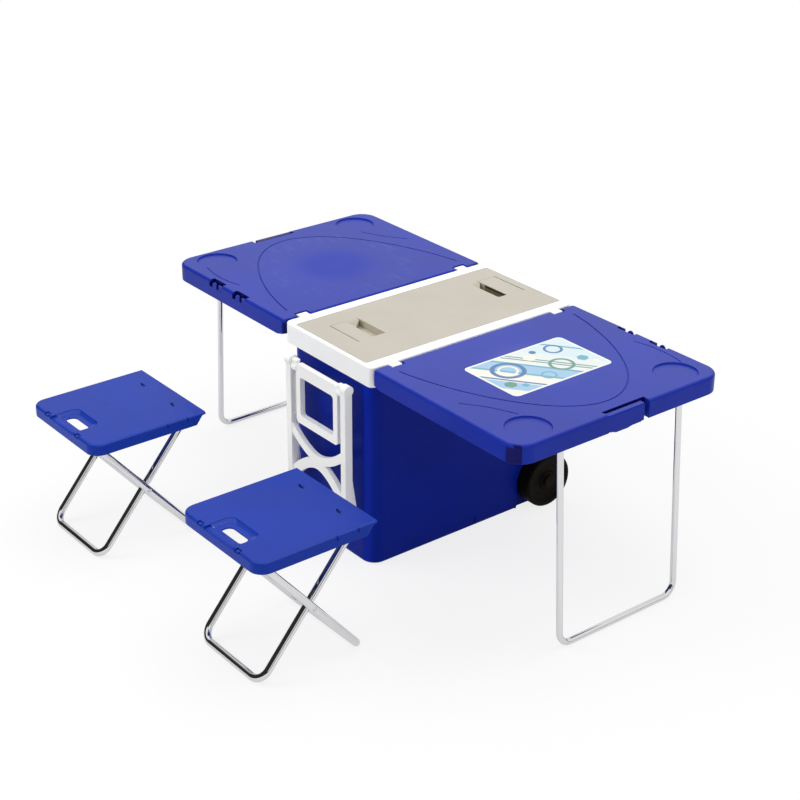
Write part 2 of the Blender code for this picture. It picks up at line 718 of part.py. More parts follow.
def lid(root):
    """Lift-off lid: a top plate with two finger wells, a foam core and a white plug under it."""
    lift = pivot("lid_lift", (0, 0, TABLE_TOP), root)
    x = LID_X
    y = LID_Y
    bottom = TABLE_TOP - LID_SKIRT
    top = solid(
        "lid_top",
        rounded_block(-x, x, -y, y, LID_CORNER, bottom, TABLE_TOP, top=LID_EDGE, steps=1, sides=3),
        lift,
        "lid_plastic",
    )
    skirt = LID_SKIRT_WALL
    cut(
        top,
        rounded_block(
            -x + skirt,
            x - skirt,
            -y + skirt,
            y - skirt,
            LID_CORNER,
            bottom - skirt,
            TABLE_TOP - LID_PLATE,
            sides=2,
        ),
    )
    plug_x = LINER_X - LINER_WALL - SIDE_PLAY
    plug_y = LINER_Y - LINER_WALL - SIDE_PLAY
    plug_corner = LINER_CORNER - LINER_WALL - SIDE_PLAY
    plug_bottom = TABLE_TOP - LID_PLUG_DEPTH
    wall = LID_PLUG_WALL
    plug = solid(
        "lid_plug",
        rounded_block(
            -plug_x,
            plug_x,
            -plug_y,
            plug_y,
            plug_corner,
            plug_bottom,
            bottom + LID_SKIRT / 2,
            bottom=LID_PLUG_ROUND,
        ),
        lift,
        "white_plastic",
    )
    foam = solid(
        "lid_foam",
        rounded_block(
            -plug_x + wall + SEAM,
            plug_x - wall - SEAM,
            -plug_y + wall + SEAM,
            plug_y - wall - SEAM,
            plug_corner - wall,
            plug_bottom + wall + SEAM,
            TABLE_TOP - LID_PLATE - SEAM,
        ),
        lift,
        "foam",
    )
    cut(
        plug,
        rounded_block(
            -plug_x + wall,
            plug_x - wall,
            -plug_y + wall,
            plug_y - wall,
            plug_corner - wall,
            plug_bottom + wall,
            TABLE_TOP,
        ),
    )
    for place, length in zip(POCKET_Y, WELL_LENGTH):
        toward_middle = -1 if place > 0 else 1
        inner = place + toward_middle * (POCKET_LENGTH / 2 - WELL_STEP)
        outer = inner - toward_middle * length
        y0, y1 = sorted((inner, outer))
        x0 = POCKET_X - POCKET_WIDTH / 2 + WELL_STEP
        x1 = POCKET_X + POCKET_WIDTH / 2 - WELL_STEP
        floor = TABLE_TOP - WELL_DEPTH
        edge = WELL_WALL
        join(
            top,
            rounded_block(
                x0 - edge,
                x1 + edge,
                y0 - edge,
                y1 + edge,
                WELL_CORNER + edge,
                floor - edge,
                TABLE_TOP - LID_PLATE / 2,
                sides=2,
            ),
        )
        cut(
            foam,
            rounded_block(
                x0 - edge - SEAM,
                x1 + edge + SEAM,
                y0 - edge - SEAM,
                y1 + edge + SEAM,
                WELL_CORNER + edge + SEAM,
                floor - edge - SEAM,
                TABLE_TOP,
                sides=2,
            ),
        )
        cut(
            top,
            rounded_block(
                POCKET_X - POCKET_WIDTH / 2,
                POCKET_X + POCKET_WIDTH / 2,
                place - POCKET_LENGTH / 2,
                place + POCKET_LENGTH / 2,
                POCKET_CORNER,
                TABLE_TOP - POCKET_DEPTH,
                TABLE_TOP + POCKET_DEPTH,
                sides=2,
            ),
        )
        cut(top, rounded_block(x0, x1, y0, y1, WELL_CORNER, floor, TABLE_TOP + POCKET_DEPTH, sides=2))


def groove_line():
    """Bow with its ends at the hinge side and its crown near the leaf's end."""
    start = LEAF_INNER_EDGE + GROOVE_FROM_HINGE_SIDE
    crown = LEAF_END - GROOVE_FROM_END
    half = LEAF_SIDE - GROOVE_FROM_SIDE
    turns = [math.radians(t) for t in range(6, 175, 12)]
    return [(start + (crown - start) * math.sin(t) ** GROOVE_BOW, -half * math.cos(t)) for t in turns]


def tail_line(end, cup):
    """Short curved groove from outside the bow into the wall of a cup ring."""
    meets = math.radians(TAIL_MEETS[end])
    finish = (cup[0] + CUP_RADIUS * math.cos(meets), cup[1] + CUP_RADIUS * math.sin(meets))
    start = (cup[0] - TAIL_REACH, cup[1] + end * TAIL_OUT)
    line = []
    for i in range(TAIL_STEPS + 1):
        share = i / TAIL_STEPS
        x = start[0] + (finish[0] - start[0]) * share
        y = start[1] + (finish[1] - start[1]) * share + TAIL_BOW * math.sin(math.pi * share)
        line.append((x, y))
    return line


def leaf(name, frame):
    """One table leaf with its hinge ears, cup rings, latch tongue and ribs."""
    swing = pivot(f"{name}_hinge", (HINGE_X, 0, HINGE_Z), frame)
    corners = (LEAF_INNER_CORNER, LEAF_CORNER, LEAF_CORNER, LEAF_INNER_CORNER)
    piece = solid(
        name,
        rounded_block(
            LEAF_INNER_EDGE,
            LEAF_END,
            -LEAF_SIDE,
            LEAF_SIDE,
            corners,
            LEAF_BOTTOM,
            TABLE_TOP,
            top=LEAF_EDGE_ROUND,
            steps=3,
            sides=5,
        ),
        swing,
        "blue_plastic",
    )
    wall = LEAF_WALL
    inner = tuple(max(radius - wall, LEAST_INNER_CORNER) for radius in corners)
    hollow = rounded_block(
        LEAF_INNER_EDGE + wall,
        LEAF_END - wall,
        -LEAF_SIDE + wall,
        LEAF_SIDE - wall,
        inner,
        LEAF_BOTTOM - wall,
        PLATE_BOTTOM,
        top=HOLLOW_TOP_ROUND,
        steps=1,
    )
    cut(piece, hollow)
    # The inner wall is open between the hinges, where the folded leg's foot bar lies
    bar = LEG_HALF_WIDTH + TUBE_RADIUS + BAR_ROOM
    cut(
        piece,
        box(LEAF_INNER_EDGE - wall, LEAF_INNER_EDGE + 2 * wall, -bar, bar, LEAF_BOTTOM - wall, PLATE_BOTTOM),
    )
    for end in BOTH:
        notch = sorted((end * (HINGE_Y - NOTCH_LENGTH / 2), end * (HINGE_Y + NOTCH_LENGTH / 2)))
        for ear in (notch[0] - EAR_WALL / 2, notch[1] + EAR_WALL / 2):
            outline = [
                (HINGE_X, HINGE_Z - KNUCKLE_RADIUS),
                (LEAF_INNER_EDGE + NOTCH_REACH + 2 * EAR_WALL, LEAF_BOTTOM + SOLE_CLEAR),
                (LEAF_INNER_EDGE + NOTCH_REACH + 2 * EAR_WALL, PLATE_BOTTOM + LEAF_PLATE / 2),
                (LEAF_INNER_EDGE + LUG_OVERLAP, PLATE_BOTTOM + LEAF_PLATE / 2),
                *arc((HINGE_X, HINGE_Z), KNUCKLE_RADIUS, 170, 260, 3),
            ]
            join(piece, prism(outline, ear - EAR_WALL / 2, ear + EAR_WALL / 2, "Y"))
        join(
            piece,
            box(
                LEAF_INNER_EDGE + NOTCH_REACH,
                LEAF_INNER_EDGE + NOTCH_REACH + EAR_WALL,
                notch[0] - EAR_WALL / 2,
                notch[1] + EAR_WALL / 2,
                LEAF_BOTTOM + SOLE_CLEAR,
                PLATE_BOTTOM + LEAF_PLATE / 2,
            ),
        )
        cut(
            piece,
            box(
                LEAF_INNER_EDGE - 4 * EAR_WALL,
                LEAF_INNER_EDGE + NOTCH_REACH,
                notch[0],
                notch[1],
                LEAF_BOTTOM - wall,
                TABLE_TOP + wall,
            ),
        )
        low = notch[0] - 2 * EAR_WALL
        high = notch[1] + 2 * EAR_WALL
        cut(piece, bore((HINGE_X, HINGE_Z), PIN_RADIUS, RUNNING, low, high, "Y"))
        cup = (LEAF_END - CUP_FROM_END, end * (LEAF_SIDE - CUP_FROM_SIDE))
        join(piece, rod(cup, CUP_RADIUS + wall, PLATE_BOTTOM - CUP_DEPTH, RIB_ROOT, "Z", 16))
        cut(piece, rod(cup, CUP_RADIUS, TABLE_TOP - CUP_DEPTH, TABLE_TOP + CUP_DEPTH, "Z", 22))
        tail = band(tail_line(end, cup), TAIL_WIDTH)
        cut(piece, prism(tail, TABLE_TOP - TAIL_DEPTH, TABLE_TOP + TAIL_DEPTH))
    half = RIB_WALL / 2
    rib_bottom = PLATE_BOTTOM - RIB_HEIGHT
    for rib in RIB_PLACES:
        start = LEAF_INNER_EDGE + RIB_FROM_HINGE_SIDE
        join(piece, box(start, LEAF_END - RIB_FROM_END, rib - half, rib + half, rib_bottom, RIB_ROOT))
    for place in CROSS_RIB_PLACES:
        rib = LEAF_INNER_EDGE + place
        join(piece, box(rib - half, rib + half, -CROSS_RIB_HALF, CROSS_RIB_HALF, rib_bottom, RIB_ROOT))
    latch(piece)
    for place in CLIP_PLACES:
        clip(piece, LEAF_INNER_EDGE + place)
    cut(piece, prism(band(groove_line(), GROOVE_WIDTH), TABLE_TOP - GROOVE_DEPTH, TABLE_TOP + GROOVE_DEPTH))
    return swing


def latch(piece):
    """Spring tongue cut out of the leaf's end wall, with the hook under it."""
    tongue_back = LEAF_END - TONGUE_DEPTH
    gap_back = tongue_back - TONGUE_GAP
    top = TABLE_TOP + CUT_PAST
    low = LEAF_BOTTOM - CUT_PAST
    near = TONGUE_NEAR_Y
    far = TONGUE_FAR_Y
    join(
        piece,
        box(
            tongue_back - TONGUE_BACK,
            LEAF_END - LEAF_WALL / 2,
            near - TONGUE_BACK,
            far + TONGUE_BACK,
            LEAF_BOTTOM + TONGUE_GAP,
            RIB_ROOT,
        ),
    )
    # Top of the tongue, lower than the leaf, then the gap behind it and the slot at its free end
    cut(piece, box(gap_back + CUT_PAST, LEAF_END + CUT_PAST, near, far, TABLE_TOP - TONGUE_DROP, top))
    cut(piece, box(gap_back, tongue_back, near, far + CUT_PAST, low, top))
    cut(piece, box(gap_back, LEAF_END + CUT_PAST, far, far + TONGUE_SLOT, low, top))
    hook = [
        (near + HOOK_DROP, LEAF_BOTTOM + HOOK_ROOT),
        (near + HOOK_DROP, LEAF_BOTTOM - HOOK_STEP),
        (near + 2.3 * HOOK_DROP, LEAF_BOTTOM - HOOK_DROP),
        (far - 3.6 * HOOK_DROP, LEAF_BOTTOM - HOOK_DROP),
        (far - 2.6 * HOOK_DROP, LEAF_BOTTOM - HOOK_STEP),
        (far - HOOK_ROOT, LEAF_BOTTOM - HOOK_STEP),
        (far - HOOK_ROOT, LEAF_BOTTOM + HOOK_ROOT),
    ]
    join(piece, prism(hook, LEAF_END - HOOK_DEPTH, LEAF_END - SEAM, "X"))


def clip(piece, place):
    """Open notch in the leaf's far side, with a round-topped spring finger standing in it."""
    half = CLIP_LENGTH / 2
    notch = round_box(
        place - half,
        place + half,
        LEAF_SIDE - CLIP_DEPTH,
        LEAF_SIDE + CLIP_DEPTH,
        CLIP_CORNER,
        2,
    )
    cut(piece, prism(notch, TABLE_TOP - CLIP_HEIGHT, TABLE_TOP + CUT_PAST))
    radius = FINGER_WIDTH / 2
    crown = TABLE_TOP - FINGER_DROP - radius
    foot = TABLE_TOP - CLIP_HEIGHT - FINGER_DEPTH
    finger = [
        (place - radius, foot),
        *arc((place, crown), radius, 180, 0, 5),
        (place + radius, foot),
    ]
    join(piece, prism(finger, LEAF_SIDE - FINGER_DEPTH, LEAF_SIDE - SEAM, "Y"))


def leaf_leg(name, frame, swing):
    """Chrome U leg that folds up under its leaf, with its two brackets and pins."""
    fold = pivot(f"{name}_pivot", (LEG_PIVOT_X, 0, LEG_PIVOT_Z), swing)
    length = (LEG_PIVOT_Z - TUBE_RADIUS) / math.cos(LEG_SPLAY)
    foot_x = LEG_PIVOT_X + length * math.sin(LEG_SPLAY)
    half = LEG_HALF_WIDTH
    corners = [
        (LEG_PIVOT_X, -half, LEG_PIVOT_Z),
        (foot_x, -half, TUBE_RADIUS),
        (foot_x, half, TUBE_RADIUS),
        (LEG_PIVOT_X, half, LEG_PIVOT_Z),
    ]
    across = (math.cos(LEG_SPLAY), 0, math.sin(LEG_SPLAY))
    leg = solid(name, tube(bent(corners, LEG_BEND), TUBE_RADIUS, across), fold, "chrome")
    play = TUBE_RADIUS + SIDE_PLAY
    for end, word in zip(BOTH, ("near", "far")):
        centre = (LEG_PIVOT_X, LEG_PIVOT_Z)
        cut(leg, bore(centre, LEG_PIN_RADIUS, RUNNING, end * half - play, end * half + play, "Y"))
        bracket = leg_bracket(f"{name}_bracket_{word}", swing, end * half, play)
        cut(
            bracket,
            bore(centre, LEG_PIN_RADIUS, SEAM, end * half - 2 * play, end * half + 2 * play, "Y"),
        )
        reach = play + BRACKET_EAR + CUT_PAST
        pin = rod(centre, LEG_PIN_RADIUS, end * half - reach, end * half + reach, "Y", PIN_SIDES)
        solid(f"{name}_pin_{word}", pin, swing, "steel")


def leg_bracket(name, swing, place, play):
    """Two ears under one plate, fixed to the underside of the leaf."""
    outer = LEAF_END - LEAF_WALL - SEAM
    top = PLATE_BOTTOM - CUP_DEPTH - SEAM
    plate = BRACKET_PLATE
    ear = [
        (outer - BRACKET_LENGTH, top - plate),
        *arc((LEG_PIVOT_X, LEG_PIVOT_Z), BRACKET_EYE, 200, 320, 5),
        (outer, LEAF_BOTTOM + CUT_PAST),
        (outer, top - LEAF_WALL),
        (outer - LEAF_WALL, top),
        (outer - BRACKET_LENGTH, top),
    ]
    piece = solid(
        name,
        prism(ear, place - play - BRACKET_EAR, place + play + BRACKET_EAR, "Y"),
        swing,
        "black_plastic",
    )
    cut(
        piece,
        box(
            outer - 2 * BRACKET_LENGTH,
            LEAF_END + CUT_PAST,
            place - play,
            place + play,
            LEG_PIVOT_Z - 4 * TUBE_RADIUS,
            top - plate,
        ),
    )
    return piece


def hinge_pins(frame, word):
    for end, place in zip(BOTH, ("near", "far")):
        reach = NOTCH_LENGTH / 2 + EAR_WALL - SEAM
        solid(
            f"hinge_pin_{word}_{place}",
            rod((HINGE_X, HINGE_Z), PIN_RADIUS, end * HINGE_Y - reach, end * HINGE_Y + reach, "Y", PIN_SIDES),
            frame,
            "steel",
        )


def wheels(root):
    centre = (WHEEL_Y, WHEEL_RADIUS)
    for side, word in zip(BOTH, ("left", "right")):
        spin = pivot(f"wheel_{word}_axis", (side * WHEEL_OUTER_X, WHEEL_Y, WHEEL_RADIUS), root)
        outer = WHEEL_OUTER_X
        inner = WHEEL_OUTER_X - WHEEL_WIDTH
        hole = AXLE_RADIUS + RUNNING
        tread = WHEEL_RADIUS
        profile = [
            (inner, hole),
            (inner, HUB_RADIUS - HUB_DRAFT),
            (inner + INNER_DISH_DEPTH, HUB_RADIUS + HUB_DRAFT),
            (inner + INNER_DISH_DEPTH, tread - TREAD_DEPTH),
            (inner, tread - TREAD_DEPTH + HUB_DRAFT),
            (inner, tread - TREAD_ROUND),
            (inner + TREAD_ROUND, tread),
            (outer - TREAD_ROUND, tread),
            (outer, tread - TREAD_ROUND),
            (outer, tread - 2 * TREAD_ROUND),
            (outer - DISH_DEPTH, tread - TREAD_DEPTH),
            (outer - DISH_DEPTH, HUB_RADIUS + DISH_DEPTH),
            (outer - HUB_SET_IN, HUB_RADIUS),
            (outer - HUB_SET_IN, hole),
        ]
        profile = [(side * place, radius) for place, radius in profile]
        solid(f"wheel_{word}", turned(profile, centre, WHEEL_SIDES), spin, "black_plastic")
        inside = ARCH_WALL_X - AXLE_BOSS_DEPTH + BODY_WALL + SEAM
        axle_end = outer - HUB_SET_IN + HUB_CAP_DEPTH - AXLE_SHORT
        low, high = sorted((side * inside, side * axle_end))
        solid(f"axle_{word}", rod(centre, AXLE_RADIUS, low, high, "X", PIN_SIDES), root, "steel")
        cap_inner = outer - HUB_SET_IN + SEAM
        cap_outer = cap_inner + HUB_CAP_DEPTH
        rings = [
            (arc(centre, HUB_CAP_RADIUS, 0, 330, 11), side * cap_inner),
            (arc(centre, HUB_CAP_RADIUS, 0, 330, 11), side * (cap_outer - HUB_CAP_ROUND)),
            (arc(centre, HUB_CAP_RADIUS - HUB_CAP_ROUND, 0, 330, 11), side * cap_outer),
        ]
        cap = solid(f"hub_cap_{word}", loft(rings, "X"), root, "black_plastic")
        low, high = sorted((side * (cap_inner - CUT_PAST), side * (axle_end + SEAM)))
        cut(cap, bore(centre, AXLE_RADIUS, SEAM, low, high, "X"))


def handle(root):
    """Pull handle: two rails on a curved brace that swing out, and a grip that folds over."""
    swing = pivot("handle_arm_pivot", (0, ARM_PIVOT_Y, ARM_PIVOT_Z), root)
    radius = ARM_DEPTH / 2
    arm = None
    for side in BOTH:
        x0, x1 = sorted((side * (ARM_OUTER_X - ARM_RAIL), side * ARM_OUTER_X))
        rail = [
            *arc((ARM_MIDDLE_Y, ARM_PIVOT_Z), radius, 180, 360, 6),
            *arc((ARM_MIDDLE_Y, ARM_TOP_Z - radius), radius, 0, 180, 6),
        ]
        shape_of_rail = prism(rail, x0, x1, "X")
        if arm is None:
            arm = solid("handle_arm", shape_of_rail, swing, "white_plastic")
        else:
            join(arm, shape_of_rail)
        # Channel in the face towards the grip
        rail_face = ARM_OUTER_X - ARM_RAIL
        low, high = sorted((side * (rail_face - CUT_PAST), side * (rail_face + CHANNEL_DEPTH)))
        channel_top = ARM_TOP_Z - CHANNEL_FROM_TOP
        channel = round_box(
            ARM_MIDDLE_Y - CHANNEL_WIDTH / 2,
            ARM_MIDDLE_Y + CHANNEL_WIDTH / 2,
            channel_top - CHANNEL_LENGTH,
            channel_top,
            CHANNEL_ROUND,
            2,
        )
        cut(arm, prism(channel, low, high, "X"))
    inner = ARM_OUTER_X - ARM_RAIL / 2
    for ends, middle in (
        (BRACE_UPPER_ENDS_Z, BRACE_MIDDLE_Z + BRACE_JOIN),
        (BRACE_LOWER_ENDS_Z, BRACE_MIDDLE_Z - BRACE_JOIN),
    ):
        shares = [i / BRACE_STEPS for i in range(-BRACE_STEPS, BRACE_STEPS + 1)]
        line = [(share * inner, middle + (ends - middle) * abs(share) ** BRACE_BOW) for share in shares]
        face = ARM_FRONT_Y + BRACE_SET_BACK
        join(arm, prism(band(line, BRACE_WIDTH), face, face + BRACE_DEPTH, "Y"))
    reach = ARM_OUTER_X + 2 * ARM_RAIL
    cut(arm, bore((ARM_PIVOT_Y, ARM_PIVOT_Z), ARM_PIN_RADIUS, RUNNING, -reach, reach, "X"))
    for side in BOTH:
        low, high = sorted((side * (ARM_OUTER_X - 2 * ARM_RAIL), side * (ARM_OUTER_X - GRIP_PIN_COVER)))
        cut(arm, bore((GRIP_PIVOT_Y, GRIP_PIVOT_Z), GRIP_PIN_RADIUS, SEAM, low, high, "X"))
    handle_brackets(root)
    handle_grip(swing)


def handle_brackets(root):
    """Ears on the end of the box that hold the feet of the rails."""
    for side, word in zip(BOTH, ("left", "right")):
        inner = ARM_OUTER_X - ARM_RAIL - SIDE_PLAY
        outer = ARM_OUTER_X + SIDE_PLAY
        wall_y = -BODY_Y - SEAM
        step_y = wall_y - ARM_FOOT_STEP
        ear = [
            (wall_y, ARM_PIVOT_Z - ARM_FOOT_HALF),
            (wall_y, ARM_PIVOT_Z + ARM_FOOT_HALF),
            (step_y, ARM_PIVOT_Z + ARM_FOOT_HALF),
            *arc((ARM_PIVOT_Y, ARM_PIVOT_Z), ARM_FOOT_NOSE, 60, 300, 6),
            (step_y, ARM_PIVOT_Z - ARM_FOOT_HALF),
        ]
        low, high = sorted((side * (inner - ARM_EAR), side * (outer + ARM_EAR)))
        bracket = solid(f"handle_bracket_{word}", prism(ear, low, high, "X"), root, "white_plastic")
        low, high = sorted((side * inner, side * outer))
        back = ARM_MIDDLE_Y + ARM_DEPTH / 2 + CUT_PAST
        room = 2 * ARM_FOOT_HALF
        cut(
            bracket,
            box(low, high, ARM_FRONT_Y - ARM_DEPTH, back, ARM_PIVOT_Z - room, ARM_PIVOT_Z + room),
        )
        low, high = sorted((side * (inner - 2 * ARM_EAR), side * (outer + 2 * ARM_EAR)))
        cut(bracket, bore((ARM_PIVOT_Y, ARM_PIVOT_Z), ARM_PIN_RADIUS, SEAM, low, high, "X"))
        low, high = sorted((side * (inner - ARM_EAR - CUT_PAST), side * (outer + ARM_EAR + CUT_PAST)))
        pin = rod((ARM_PIVOT_Y, ARM_PIVOT_Z), ARM_PIN_RADIUS, low, high, "X", PIN_SIDES)
        solid(f"handle_arm_pin_{word}", pin, root, "steel")


def handle_grip(swing):
    flip = pivot("handle_grip_pivot", (0, GRIP_PIVOT_Y, GRIP_PIVOT_Z), swing)
    back = GRIP_FRONT_Y + GRIP_DEPTH
    grip = solid(
        "handle_grip",
        prism(
            round_box(-GRIP_HALF_WIDTH, GRIP_HALF_WIDTH, GRIP_BOTTOM_Z, GRIP_TOP_Z, GRIP_CORNER, 3),
            GRIP_FRONT_Y,
            back,
            "Y",
        ),
        flip,
        "white_plastic",
    )
    boss_end = ARM_OUTER_X - ARM_RAIL - SIDE_PLAY
    centre = (GRIP_PIVOT_Y, GRIP_PIVOT_Z)
    join(grip, rod(centre, GRIP_BOSS_RADIUS, -boss_end, boss_end, "X", 14))
    window = round_box(
        -GRIP_WINDOW_HALF,
        GRIP_WINDOW_HALF,
        GRIP_WINDOW_TOP - GRIP_WINDOW_HEIGHT,
        GRIP_WINDOW_TOP,
        GRIP_WINDOW_CORNER,
        3,
    )
    cut(grip, prism(window, GRIP_FRONT_Y - GRIP_DEPTH, back + GRIP_DEPTH, "Y"))
    for side, word in zip(BOTH, ("left", "right")):
        deep = GRIP_WINDOW_HALF + GRIP_PIN_SEAT - CUT_PAST
        low, high = sorted((side * deep, side * (boss_end + CUT_PAST)))
        cut(grip, bore(centre, GRIP_PIN_RADIUS, RUNNING, low, high, "X"))
        low, high = sorted((side * (deep + CUT_PAST), side * (ARM_OUTER_X - GRIP_PIN_COVER - SEAM)))
        pin = rod(centre, GRIP_PIN_RADIUS, low, high, "X", PIN_SIDES)
        solid(f"handle_grip_pin_{word}", pin, swing, "steel")


def stool(word, place, root):
    """Folding stool: a moulded seat on two U frames that cross at two rivets."""
    frame = pivot(f"stool_{word}_place", (place[0], place[1], 0), root)
    frame["at"] = (0.0, 0.0, 0.0)
    top = STOOL_HEIGHT
    rod_z = top - ROD_DROP
    run = (rod_z - TUBE_RADIUS) / math.tan(FRAME_ANGLE)
    rear_y = FRAME_PIVOT_Y
    front_y = FRAME_PIVOT_Y - run
    stool_seat(word, frame, rod_z, front_y)
    front = pivot(f"stool_{word}_front_frame_pivot", (0, rear_y, rod_z), frame)
    middle = ((rear_y + front_y) / 2, (rod_z + TUBE_RADIUS) / 2)
    rear = pivot(f"stool_{word}_rear_frame_pivot", (0, middle[0], middle[1]), front)
    across = {
        "front": (0, -math.sin(FRAME_ANGLE), math.cos(FRAME_ANGLE)),
        "rear": (0, math.sin(FRAME_ANGLE), math.cos(FRAME_ANGLE)),
    }
    frames = {
        "front": (front, FRONT_FRAME_HALF, rear_y, front_y),
        "rear": (rear, REAR_FRAME_HALF, front_y, rear_y),
    }
    for which, (holder, half, top_y, floor_y) in frames.items():
        corners = [
            (-half, top_y, rod_z),
            (-half, floor_y, TUBE_RADIUS),
            (half, floor_y, TUBE_RADIUS),
            (half, top_y, rod_z),
        ]
        piece = solid(
            f"stool_{word}_{which}_frame",
            tube(bent(corners, FRAME_BEND), TUBE_RADIUS, across[which]),
            holder,
            "chrome",
        )
        play = TUBE_RADIUS + SIDE_PLAY
        for side in BOTH:
            low, high = sorted((side * (half - play), side * (half + play)))
            cut(piece, bore((top_y, rod_z), ROD_RADIUS, SEAM, low, high, "X"))
            cut(piece, bore(middle, RIVET_RADIUS, SEAM, low, high, "X"))
    reach = FRONT_FRAME_HALF + TUBE_RADIUS + ROD_STAND_OUT
    pivot_rod = rod((rear_y, rod_z), ROD_RADIUS, -reach, reach, "X", PIN_SIDES)
    solid(f"stool_{word}_pivot_rod", pivot_rod, frame, "steel")
    reach = REAR_FRAME_HALF + TUBE_RADIUS + ROD_STAND_OUT
    slide_rod = rod((front_y, rod_z), ROD_RADIUS, -reach, reach, "X", PIN_SIDES)
    solid(f"stool_{word}_slide_rod", slide_rod, rear, "steel")
    for side, hand in zip(BOTH, ("left", "right")):
        rivet(f"stool_{word}_rivet_{hand}", front, side, middle)


def rivet(name, holder, side, middle):
    """Rivet through both frames, with a head at each end and a collar that keeps them apart."""
    inner = FRONT_FRAME_HALF - TUBE_RADIUS - SEAM
    outer = REAR_FRAME_HALF + TUBE_RADIUS + SEAM
    collar = (FRONT_FRAME_HALF + TUBE_RADIUS + SEAM, REAR_FRAME_HALF - TUBE_RADIUS - SEAM)
    head = RIVET_HEAD_DEPTH
    profile = [
        (inner - head, 0.6 * RIVET_HEAD),
        (inner, RIVET_HEAD),
        (inner, RIVET_RADIUS),
        (collar[0], RIVET_RADIUS),
        (collar[0], RIVET_HEAD),
        (collar[1], RIVET_HEAD),
        (collar[1], RIVET_RADIUS),
        (outer, RIVET_RADIUS),
        (outer, RIVET_HEAD),
        (outer + head, 0.6 * RIVET_HEAD),
    ]
    last = 360 - 360 / PIN_SIDES
    rings = [(arc(middle, radius, 0, last, PIN_SIDES - 1), side * place) for place, radius in profile]
    solid(name, loft(rings, "X"), holder, "steel")


def stool_seat(word, frame, rod_z, front_y):
    """Moulded seat: a plate with a skirt, the bearings of the frames and the hand hold."""
    x = SEAT_WIDTH / 2
    y = SEAT_DEPTH / 2
    top = STOOL_HEIGHT
    low = top - SEAT_THICKNESS
    under = top - SEAT_PLATE
    rear = y - SEAT_LIP
    corners = (SEAT_CORNER, SEAT_CORNER, SEAT_REAR_CORNER, SEAT_REAR_CORNER)
    seat = solid(
        f"stool_{word}_seat",
        rounded_block(-x, x, -y, y, corners, low, top, top=SEAT_EDGE_ROUND, sides=5),
        frame,
        "blue_plastic",
    )
    wall = SEAT_WALL
    # Rear face leans in under the sharp rear lip
    lean = [
        (y + CUT_PAST, under),
        (y - CUT_PAST, under),
        (rear, low - CUT_PAST),
        (y + CUT_PAST, low - CUT_PAST),
    ]
    cut(seat, prism(lean, -x - CUT_PAST, x + CUT_PAST, "X"))
    inner = SEAT_CORNER - wall
    radii = (inner, inner, wall, wall)
    hollow = [
        (round_box(-x + wall, x - wall, -y + wall, rear - wall, radii), low - CUT_PAST),
        (round_box(-x + wall, x - wall, -y + wall, y - 2 * wall, radii), under),
    ]
    cut(seat, loft(hollow))
    hand_hold(seat, y, top, low, rod_z)
    root_z = under + SEAT_PLATE / 3
    stop_y = front_y - ROD_RADIUS - SEAM
    for side in BOTH:
        # Bearing of the rear pivot rod, and the stop in front of the sliding rod
        outer = FRONT_FRAME_HALF - TUBE_RADIUS - SIDE_PLAY
        x0, x1 = sorted((side * (outer - BEARING_WIDTH), side * outer))
        bearing = [
            (FRAME_PIVOT_Y - BEARING_HALF, root_z),
            *arc((FRAME_PIVOT_Y, rod_z), BEARING_RADIUS, 180, 360, 4),
            (FRAME_PIVOT_Y + BEARING_HALF, root_z),
        ]
        join(seat, prism(bearing, x0, x1, "X"))
        cut(seat, bore((FRAME_PIVOT_Y, rod_z), ROD_RADIUS, RUNNING, x0 - CUT_PAST, x1 + CUT_PAST, "X"))
        x0, x1 = sorted((side * (outer - STOP_WIDTH), side * outer))
        join(seat, box(x0, x1, stop_y - STOP_WALL, stop_y, rod_z - ROD_RADIUS - CUT_PAST, root_z))
        # Small drain hole near the rear, and two notches in the side edge
        middle = side * HOLE_X
        hole = round_box(
            middle - HOLE_HALF_LENGTH,
            middle + HOLE_HALF_LENGTH,
            HOLE_Y - HOLE_HALF_WIDTH,
            HOLE_Y + HOLE_HALF_WIDTH,
            0.97 * HOLE_HALF_WIDTH,
            2,
        )
        cut(seat, prism(hole, low, top + CUT_PAST))
        for notch in EDGE_NOTCH_PLACES:
            x0, x1 = sorted((side * (x - EDGE_NOTCH_DEPTH), side * (x + CUT_PAST)))
            cut(seat, box(x0, x1, notch, notch + EDGE_NOTCH_WIDTH, under - EDGE_NOTCH_WIDTH, top + CUT_PAST))


